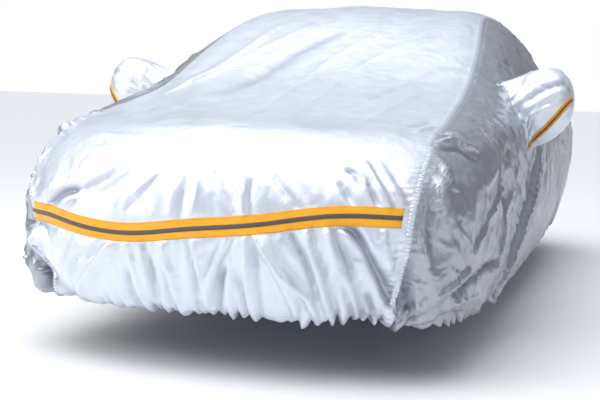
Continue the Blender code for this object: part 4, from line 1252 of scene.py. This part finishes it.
@dataclass
class MarkerBand:
    """The yellow band across the front with the dark stripe along its middle."""

    cloth: Cloth
    finishes: Finishes
    dresser: Dresser
    inset: int = 3                   # columns between the seams and the band's ends

    def build(self, stitches: StitchTree) -> None:
        """Makes the band, its stripe and its stitches."""
        rows = [self.cloth.row(along) for along in BAND_ROWS]
        columns = slice(self.cloth.right_seam - 1, self.cloth.left_seam - self.inset)
        lift = 0.0016
        band = self.strip("front_band", rows[0], rows[3], columns, lift, 0.0012, 0.0005)
        self.dresser.dress(band, self.finishes.yellow, "marker_yellow", "front_band")
        stripe = self.strip("front_band_stripe", rows[1], rows[2], columns, lift + 0.0016, -0.001, 0.0)
        self.dresser.dress(stripe, self.finishes.dark, "marker_dark", "front_band_stripe")
        paths = []
        for row, toward in ((rows[0], 1), (rows[3], -1)):
            first = self.cloth.points[row, columns] + self.cloth.normals[row, columns] * (lift + 0.0006)
            inner = self.cloth.points[row + toward, columns] + self.cloth.normals[row + toward, columns] * (
                lift + 0.0009)
            paths.append(first * 0.35 + inner * 0.65)
        seam = stitches.sew("front_band_stitches", paths, self.finishes.gold_thread, 0.008, 0.0055, 0.0007)
        self.dresser.dress(seam, self.finishes.gold_thread, "marker_yellow")

    def strip(self, name: str, low: int, high: int, columns: slice, lift: float, sunk: float,
              crown: float) -> bpy.types.Object:
        """One strip between two rows of the cloth."""
        window = (slice(low, high + 1), columns)
        patch = strip_patch(self.cloth.points[window], self.cloth.normals[window], self.cloth.flat[window],
                            lift, sunk, crown)
        return patch.mesh(f"{name}_tape")


@dataclass
class CornerGathers:
    """The shirred strips over the front corner seams."""

    cloth: Cloth
    finishes: Finishes
    dresser: Dresser
    half_width: float = 0.0135
    pitch: float = 0.0145
    depth: float = 0.0042
    steps: int = 5                   # rows for each rib's pitch

    def build(self, stitches: StitchTree) -> None:
        """Makes both strips with their stitches."""
        for side, column in (("left", self.cloth.left_seam), ("right", self.cloth.right_seam)):
            piece, edges = self.strip(side, column)
            node = f"corner_gather_{side}"
            self.dresser.dress(piece, self.finishes.top, "silver_top", node)
            sewn = stitches.sew(f"corner_gather_stitches_{side}", edges, self.finishes.thread, 0.0072, 0.005)
            self.dresser.dress(sewn, self.finishes.thread, "silver_top")

    def strip(self, side: str, column: int) -> tuple[bpy.types.Object, list[Array]]:
        """One strip.

        Args:
            side: left or right.
            column: the seam's column of the cloth's grid.

        Returns:
            The piece, and the lines of its stitches.
        """
        first, last = self.cloth.row(self.cloth.hem_row - 0.02), self.cloth.row(self.cloth.gather_top)
        line = self.cloth.points[first:last + 1, column]
        normal = self.cloth.normals[first:last + 1]
        normal = unit(normal[:, column - 3:column + 4].mean(1))
        near = self.cloth.points[first:last + 1]
        wide = unit(near[:, column + 3] - near[:, column - 3])
        lengths = np.concatenate([[0], np.cumsum(np.linalg.norm(np.diff(line, axis=0), axis=1))])
        count = int(lengths[-1] / self.pitch * self.steps)
        places = np.linspace(0, lengths[-1], count)
        pick = [np.stack([np.interp(places, lengths, part[:, k]) for k in range(3)], 1)
                for part in (smoothed(line), smoothed(normal), smoothed(wide))]
        line, normal, wide = pick[0], unit(pick[1]), unit(pick[2])
        across = np.linspace(-1, 1, 9)
        jitter = noise(np.stack([places / 0.07, places * 0, places * 0], -1), 5 if side == "left" else 6)
        phase = 2 * np.pi * places / self.pitch + 1.6 * jitter
        slant = 0.9 * across[None] * (1 if side == "left" else -1)
        rib = np.abs(np.cos((phase[:, None] + slant) / 2)) ** 0.8
        share = 0.55 + 0.45 * np.abs(noise(np.stack([places / 0.05, places * 0 + 3, places * 0], -1), 9))[:,
                                                                                                          None]
        height = 0.0012 + self.depth * rib * share * (1 - 0.75 * across[None] ** 2)
        height[:, [0, -1]] = -0.004
        width = self.half_width * (1 + 0.10 * np.cos(phase))[:, None]
        points = line[:, None] + wide[:, None] * (across[None] * width)[..., None] + normal[:,
                                                                                            None] * height[..., None]
        flat = np.stack(np.broadcast_arrays(across[None] * self.half_width, places[:, None] * 1.4), -1)
        # Painted shade in the grooves between the ribs, lighter rubbed wear on the ribs.
        wear_and_shade = np.clip(0.25 + 0.6 * rib, 0, 1) * np.ones_like(height)
        piece = Patch(points, flat, wear_and_shade).mesh(f"corner_gather_{side}_cloth")
        edges = [points[::3, 1] + normal[::3] * 0.001, points[::3, -2] + normal[::3] * 0.001]
        return piece, edges


def smoothed(values: Array, passes: int = 6) -> Array:
    """Rows of values, evened out along their length."""
    values = values.copy()
    for _ in range(passes):
        values[1:-1] = (values[:-2] + 2 * values[1:-1] + values[2:]) / 4
    return values


class PocketRing(NamedTuple):
    """One section of a pocket: how far out, its middle, half sizes, and where the tape runs round it."""

    out: float
    back: float
    up: float
    half_depth: float
    half_height: float
    tape_angle: float


POCKET_RINGS = (
    PocketRing(0.870, 1.585, 0.945, 0.122, 0.148, -64),
    PocketRing(0.935, 1.575, 0.975, 0.124, 0.166, -54),
    PocketRing(0.985, 1.565, 0.992, 0.118, 0.164, -42),
    PocketRing(1.035, 1.560, 1.003, 0.107, 0.147, -28),
    PocketRing(1.075, 1.560, 1.010, 0.090, 0.120, -12),
    PocketRing(1.102, 1.565, 1.014, 0.063, 0.083, 4),
    PocketRing(POCKET_TIP, 1.570, 1.016, 0.028, 0.038, 14),
)


@dataclass
class MirrorPockets:
    """The bags over the door mirrors, with their tape, stripe, folds and gathered roots."""

    finishes: Finishes
    dresser: Dresser
    power: float = 2.4               # squareness of a section
    band: float = 0.036
    stripe: float = 0.010
    rings: int = 54
    sides: int = 96
    widest: float = 0.55

    def section(self, ring: Array, angles: Array, grow: float = 0.0) -> tuple[Array, Array]:
        """Depth and height of a section's points; angle 0 faces front, 90 degrees is on top."""
        half_depth, half_height = ring[3] + grow, ring[4] + grow
        front, up = np.cos(angles), np.sin(angles)
        reach = (np.abs(front) ** self.power + np.abs(up) ** self.power) ** (-1 / self.power)
        return ring[1] - half_depth * front * reach, ring[2] + half_height * up * reach

    def cut(self, points: Array) -> Array:
        """Fits a side panel's grid to the mirror's hole: points near its edge go on to it.

        Args:
            points: the panel's points, changed in place.

        Returns:
            Which cells of the grid are kept.
        """
        root = POCKET_RINGS[0]
        depth = (points[..., 1] + REST[1] - root.back) / root.half_depth
        height = (points[..., 2] + REST[2] - root.up) / root.half_height
        reach = (np.abs(depth) ** self.power + np.abs(height) ** self.power) ** (1 / self.power)
        close = (np.abs(reach - 1) < 0.055) & (np.abs(points[..., 0]) > 0.6)
        pull = np.where(close, 1 / np.maximum(reach, 1e-6), 1)
        points[..., 1] = root.back - REST[1] + depth * root.half_depth * pull
        points[..., 2] = root.up - REST[2] + height * root.half_height * pull
        inside = np.where(close, 1.0, reach) <= 1.0001
        inside &= np.abs(points[..., 0]) > 0.6
        gone = inside[:-1, :-1] & inside[1:, :-1] & inside[:-1, 1:] & inside[1:, 1:]
        return ~gone

    def build(self, panels: dict[str, bpy.types.Object], stitches: StitchTree) -> None:
        """Makes both pockets on their side panels."""
        for side, sign in (("left", 1), ("right", -1)):
            panel = panels[f"side_front_{side}"]
            inner, normals, flat, wear_and_shade = self.surface(panel, sign, 3 if sign > 0 else 4)
            order = slice(None, None, -1) if sign > 0 else slice(None)
            patch = Patch(inner[:, order], flat[:, order], wear_and_shade[:, order], ring=True)
            bag = self.closed(patch, f"mirror_pocket_{side}_cloth")
            self.dresser.dress(bag, self.finishes.top, "silver_top", f"mirror_pocket_{side}")
            self.tape(side, order, inner, normals, flat, stitches)

    def surface(self, panel: bpy.types.Object, sign: int, seed: int) -> tuple[Array, Array, Array, Array]:
        """The bag's points from its root inside the panel to its tip.

        Args:
            panel: the side panel that it is sewn to.
            sign: 1 on the left, -1 on the right.
            seed: which crumples.

        Returns:
            Points, normals, flat places, and rubbed wear with painted shade.
        """
        mesh = panel.data
        tree = BVHTree.FromPolygons([v.co for v in mesh.vertices], [tuple(p.vertices) for p in mesh.polygons])
        knots = np.arange(len(POCKET_RINGS), dtype=float)
        rings = one_spline(knots, np.array(POCKET_RINGS, float), np.linspace(0, knots[-1], self.rings))
        turns = np.linspace(0, 2 * np.pi, self.sides, endpoint=False)
        tape = np.radians(rings[:, 5])
        points = np.zeros((self.rings + 3, self.sides, 3))
        fans = noise(np.stack([np.cos(turns) * 3, np.sin(turns) * 3, turns * 0], -1), seed)
        root_wave = np.sin(turns * 19 + 3 * fans)
        for k, ring in enumerate(rings):
            angles = tape[k] + turns
            grow = 0.0062 * root_wave * math.exp(-k / 7)
            depth, height = self.section(ring, angles)
            middle = np.array([ring[1], ring[2]])
            spread = np.stack([depth, height], 1) - middle
            spread *= (1 + grow / np.maximum(np.linalg.norm(spread, axis=1), 0.02))[:, None]
            depth, height = (spread + middle).T
            points[k + 3] = np.stack([np.full(self.sides, ring[0]), depth - REST[1], height - REST[2]], 1)
        skins = []
        for grow in (0.0, 0.012, 0.001):
            depth, height = self.section(rings[0], tape[0] + turns, grow)
            skin = []
            for y, z in zip(depth - REST[1], height - REST[2]):
                hit = tree.ray_cast(Vector((sign * OUTSIDE, y, z)), Vector((-sign, 0, 0)))[0]
                skin.append(abs(hit.x) if hit is not None else np.nan)
            skin = np.array(skin)
            good = np.isfinite(skin)
            skin[~good] = np.interp(turns[~good], turns[good], skin[good], period=2 * np.pi)
            skins.append((smoothed(skin, 3), depth, height))
        rim = skins[1][0]
        for k, (out, source) in enumerate(((rim - 0.012, 0), (rim + 0.0015, 1), (rim + 0.0045, 2))):
            points[k] = np.stack([out, skins[source][1] - REST[1], skins[source][2] - REST[2]], 1)
        start = rim + 0.010
        for k in range(self.rings):
            share = math.exp(-k / 4.5)
            points[k + 3, :, 0] = np.maximum(points[k + 3, :, 0], start + 0.0016 * k) * (1 - share) + (
                start + 0.0016 * k) * share
        points[-1, :, 0] = np.maximum(points[-1, :, 0], POCKET_TIP)
        normals = ring_normals(points)
        out = points[..., 0]
        crumple = crumpled(points + seed, np.array([0.09, 0.07, 0.07]), seed + 30)
        calm = smooth(out, 0.885, 0.92) * (1 - smooth(out, 1.09, 1.115))
        push = calm * (0.0048 * crumple)
        for angle, along, reach, height, width in ((55, 0.93, 0.12, 0.008, 0.030),
                                                   (20, 0.95, 0.16, -0.008, 0.018),
                                                   (-20, 0.92, 0.10, 0.007, 0.016), (100, 0.98, 0.10, -0.005,
                                                                                     0.022)):
            bearing = np.degrees(np.arctan2(points[..., 2] + REST[2] - rings[0][2] - 0.04,
                                            rings[0][1] - points[..., 1] - REST[1]))
            slant = angle + (out - along) * 220
            gap = np.abs((bearing - slant + 180) % 360 - 180) * 0.0024
            push += height * np.exp(-(gap / width) ** 2) * smooth(out, along - 0.04, along) * (
                1 - smooth(out, along + reach, along + reach + 0.03))
        points = points + normals * push[..., None]
        points[..., 0] *= sign
        normals = ring_normals(points * (sign, 1, 1)) * (sign, 1, 1)
        lengths = np.concatenate([np.zeros((1, self.sides)), np.cumsum(
            np.linalg.norm(np.diff(points, axis=0), axis=2), axis=0)])
        flat = np.stack(np.broadcast_arrays(turns[None] * 0.12, lengths), -1)
        # Painted shade in the troughs and on the three root rows where the bag meets the panel; rubbed wear on the
        # crests.
        wear_and_shade = np.clip(0.5 + push / 0.02, 0, 1)
        wear_and_shade[:3] = 0.35
        return points, normals, flat, wear_and_shade

    def closed(self, patch: Patch, name: str) -> bpy.types.Object:
        """A pocket's mesh with its tip closed."""
        columns = patch.points.shape[1]
        centre = patch.points[-1].mean(0)
        inner = []
        for share in (0.6, 0.25, 0.04):
            ring = centre + (patch.points[-1] - centre) * share
            ring[:, 0] += (1 - share) * 0.004 * np.sign(centre[0])
            inner.append(ring)
        points = np.concatenate([patch.points, np.stack(inner)])
        flat = np.concatenate([patch.flat, patch.flat[-3:]])
        wear_and_shade = np.concatenate([patch.wear_and_shade, patch.wear_and_shade[-3:]])
        piece = Patch(points, flat, wear_and_shade, ring=True).mesh(name)
        first = len(piece.data.vertices) - columns
        bm_close(piece, range(first, first + columns))
        return piece

    def tape(self, side: str, order: slice, points: Array, normals: Array, flat: Array,
             stitches: StitchTree) -> None:
        """The yellow tape round a pocket's underside to its tip, with its stripe and stitches."""
        rows = slice(4, self.rings - 1)
        radius = np.array([0.5 * (np.ptp(p[:, 1]) + np.ptp(p[:, 2])) / 2 for p in points[rows]])
        half_tape = np.minimum(self.band / 2 / radius, self.widest)
        for name, share, lift, sunk, finish, slot, parts in (
                ("pocket_band", 1.0, 0.0022, 0.003, self.finishes.yellow, "marker_yellow", 9),
                ("pocket_stripe", self.stripe / self.band, 0.0042, -0.0018, self.finishes.dark,
                 "marker_dark", 5)):
            turns = np.linspace(-1, 1, parts)[None] * (half_tape * share)[:, None]
            places, turned_normals, tape_flat = self.on_ring(points[rows], normals[rows], flat[rows], turns)
            if order == slice(None, None, -1):
                places, turned_normals = places[:, ::-1], turned_normals[:, ::-1]
            patch = strip_patch(places, turned_normals, tape_flat, lift, sunk)
            piece = patch.mesh(f"{name}_{side}_tape")
            self.dresser.dress(piece, finish, slot, f"{name}_{side}")
            if name == "pocket_band":
                lines = [places[:, 1] + turned_normals[:, 1] * 0.0026,
                         places[:, -2] + turned_normals[:, -2] * 0.0026]
        sewn = stitches.sew(f"pocket_band_stitches_{side}", lines, self.finishes.gold_thread, 0.008, 0.0055,
                            0.0007)
        self.dresser.dress(sewn, self.finishes.gold_thread, "marker_yellow")

    @staticmethod
    def on_ring(points: Array, normals: Array, flat: Array, turns: Array) -> tuple[Array, Array, Array]:
        """Points, normals and flat places at some turns from the tape's middle, on every ring."""
        count = points.shape[1]
        place = (turns / (2 * np.pi) * count) % count
        low = np.floor(place).astype(int)
        share = (place - low)[..., None]
        rows = np.arange(len(points))[:, None]
        ends = (rows, low % count), (rows, (low + 1) % count)
        made = points[ends[0]] * (1 - share) + points[ends[1]] * share
        facing = unit(normals[ends[0]] * (1 - share) + normals[ends[1]] * share)
        lengths = flat[..., 1][:, :1] + 0 * turns
        return made, facing, np.stack([lengths, turns * 0.12], -1)


def bm_close(piece: bpy.types.Object, ring: Iterable[int]) -> None:
    """Closes a ring of a piece's last points with one smooth face."""
    mesh = piece.data
    bm = bmesh.new()
    bm.from_mesh(mesh)
    bm.verts.ensure_lookup_table()
    face = bm.faces.new([bm.verts[k] for k in ring])
    face.smooth = True
    bm.to_mesh(mesh)
    bm.free()


def ring_normals(points: Array) -> Array:
    """Outward normals of a bag whose rows close round, on the left side of the car."""
    along = np.gradient(points, axis=0)
    across = np.roll(points, -1, axis=1) - np.roll(points, 1, axis=1)
    return unit(np.cross(along, across))


@dataclass
class SeamStitches:
    """Running stitches beside every seam and along the hem."""

    cloth: Cloth
    finishes: Finishes
    dresser: Dresser
    lift: float = 0.0006
    hem_depth: float = 0.036         # how far above the hem's edge it is sewn

    def build(self, stitches: StitchTree) -> None:
        """Sews the panels together."""
        cloth = self.cloth
        top = cloth.row(cloth.gather_top)
        end = cloth.row(cloth.form.length - REAR_EDGE)
        long_rows = slice(top, end, 2)
        seams = [self.line(long_rows, seam + step)
                 for seam in (cloth.left_seam, cloth.right_seam) for step in (-1, 1)]
        self.add("seam_stitches", seams, stitches)
        split = cloth.split_row
        upright = []
        for columns in (slice(cloth.left_seam, cloth.left_seam + int(cloth.side_columns * 0.86), 2),
                        slice(cloth.right_seam - int(cloth.side_columns * 0.86), cloth.right_seam + 1, 2)):
            upright += [self.line(split - 1, columns), self.line(split + 1, columns)]
        self.add("upright_seam_stitches", upright, stitches)
        hem_row = cloth.row(cloth.hem_row + self.hem_depth)
        rear_row = cloth.row(cloth.form.length - REAR_EDGE - self.hem_depth)
        inner = slice(cloth.right_seam + 2, cloth.left_seam - 1)
        hems = [self.line(hem_row, inner), self.line(rear_row, inner)]
        for column in (TURN_COLUMNS + 3, cloth.points.shape[1] - TURN_COLUMNS - 4):
            hems.append(self.line(slice(hem_row + 6, rear_row - 4, 2), column))
        self.add("hem_stitches", hems, stitches)

    def line(self, rows: object, columns: object) -> Array:
        """Points of the cloth along some rows or columns, just above its face."""
        cloth = self.cloth
        return (cloth.points[rows, columns] + cloth.normals[rows, columns] * self.lift).reshape(-1, 3)

    def add(self, name: str, paths: list[Array], stitches: StitchTree) -> None:
        """Sews along the paths and dresses the thread."""
        sewn = stitches.sew(name, paths, self.finishes.thread)
        self.dresser.dress(sewn, self.finishes.thread, "silver_top")


# ---------------------------------------------------------------------------- studio
@dataclass
class Studio:
    """Pale floor, soft lights and the camera."""

    camera_place: tuple[float, float, float] = (1.568, -6.505, -0.421)
    azimuth: float = 17.34
    elevation: float = 5.546
    roll: float = 1.749
    lens: float = 72.34

    def build(self) -> None:
        """Sets everything up."""
        self.floor()
        self.sky()
        self.skylight((-0.28, -0.42, 1.0), 2.1, 1.3)
        self.light("overhead", (-0.6, -1.6, 3.6), (0, -0.4, -0.6), (6.5, 6.5), 130)
        self.light("front_left", (-5.5, -6.0, 1.4), (0, -1.8, -0.9), (3.6, 3.0), 150)
        self.light("front_right", (4.6, -6.5, 0.6), (0.6, -1.8, -0.9), (2.4, 2.4), 22)
        self.camera()

    def floor(self) -> None:
        """A wide pale floor at the ground."""
        mesh = bpy.data.meshes.new("studio_floor")
        reach = 60
        mesh.from_pydata([(-reach, -reach, GROUND), (reach, -reach, GROUND), (reach, reach, GROUND),
                          (-reach, reach, GROUND)], [], [(0, 1, 2, 3)])
        mesh.materials.append(StageFinish("studio_floor", (0.80, 0.80, 0.81)).build())
        floor = bpy.data.objects.new("studio_floor", mesh)
        bpy.context.scene.collection.objects.link(floor)

    def sky(self) -> None:
        """Soft light from all round, brighter from above."""
        world = bpy.data.worlds.new("studio")
        bpy.context.scene.world = world
        world.use_nodes = True
        nodes, links = world.node_tree.nodes, world.node_tree.links
        back = nodes["Background"]
        seen = nodes.new("ShaderNodeBackground")
        seen.inputs[0].default_value = (1.0, 1.0, 1.0, 1)
        seen.inputs[1].default_value = 1.0
        place = nodes.new("ShaderNodeTexCoord")
        split = nodes.new("ShaderNodeSeparateXYZ")
        ramp = nodes.new("ShaderNodeValToRGB")
        ramp.color_ramp.elements[0].position = 0.0
        ramp.color_ramp.elements[0].color = (0.16, 0.165, 0.18, 1)
        ramp.color_ramp.elements[1].position = 0.75
        ramp.color_ramp.elements[1].color = (0.86, 0.92, 1.0, 1)
        ramp.color_ramp.elements.new(0.22).color = (0.30, 0.32, 0.36, 1)
        links.new(place.outputs["Generated"], split.inputs[0])
        links.new(split.outputs[2], ramp.inputs[0])
        links.new(ramp.outputs[0], back.inputs[0])
        back.inputs[1].default_value = 0.62
        path = nodes.new("ShaderNodeLightPath")
        mixed = nodes.new("ShaderNodeMixShader")
        links.new(path.outputs["Is Camera Ray"], mixed.inputs[0])
        links.new(back.outputs[0], mixed.inputs[1])
        links.new(seen.outputs[0], mixed.inputs[2])
        links.new(mixed.outputs[0], nodes["World Output"].inputs[0])

    def skylight(self, toward: tuple[float, float, float], strength: float, spread: float) -> None:
        """Wide soft light from far above, the same over the whole floor."""
        data = bpy.data.lights.new("skylight", "SUN")
        data.energy = strength
        data.angle = spread
        lamp = bpy.data.objects.new("skylight", data)
        lamp.rotation_euler = Vector(toward).to_track_quat("Z", "Y").to_euler()
        bpy.context.scene.collection.objects.link(lamp)

    def light(self, name: str, place: tuple[float, float, float], target: tuple[float, float, float],
              size: tuple[float, float], power: float) -> None:
        """A soft box that faces a target."""
        data = bpy.data.lights.new(name, "AREA")
        data.shape = "RECTANGLE"
        data.size, data.size_y = size
        data.energy = power
        lamp = bpy.data.objects.new(name, data)
        lamp.location = place
        lamp.rotation_euler = (Vector(target) - Vector(place)).to_track_quat("-Z", "Y").to_euler()
        bpy.context.scene.collection.objects.link(lamp)

    def camera(self) -> None:
        """The camera, a little above the bumper and to the car's left."""
        azimuth, elevation, roll = map(math.radians, (self.azimuth, self.elevation, self.roll))
        back = Vector((math.sin(azimuth) * math.cos(elevation), -math.cos(azimuth) * math.cos(elevation),
                       math.sin(elevation)))
        right = (-back).cross(Vector((0, 0, 1))).normalized()
        up = right.cross(-back)
        right, up = right * math.cos(roll) + up * math.sin(roll), up * math.cos(roll) - right * math.sin(roll)
        data = bpy.data.cameras.new("camera")
        data.lens = self.lens
        data.sensor_width = 36
        data.clip_end = 200
        made = bpy.data.objects.new("camera", data)
        turned = Matrix((right, up, back)).transposed().to_4x4()
        made.matrix_world = Matrix.Translation(self.camera_place) @ turned
        bpy.context.scene.collection.objects.link(made)
        bpy.context.scene.camera = made
        bpy.context.scene.view_settings.view_transform = "Standard"


def main() -> None:
    """Builds the cover, then the studio."""
    logging.basicConfig(level=logging.INFO, format="%(name)s: %(message)s")
    finishes, dresser, stitches = Finishes(), Dresser(), StitchTree()
    cloth = Cloth(Form())
    LOG.info("cloth grid: %d rows, %d columns", *cloth.points.shape[:2])
    pockets = MirrorPockets(finishes, dresser)
    panels = Panels(cloth, finishes, dresser).build(pockets)
    MarkerBand(cloth, finishes, dresser).build(stitches)
    CornerGathers(cloth, finishes, dresser).build(stitches)
    pockets.build(panels, stitches)
    SeamStitches(cloth, finishes, dresser).build(stitches)
    Studio().build()
    LOG.info("%d pieces", len(dresser.pieces))


if __name__ == "__main__":
    main()
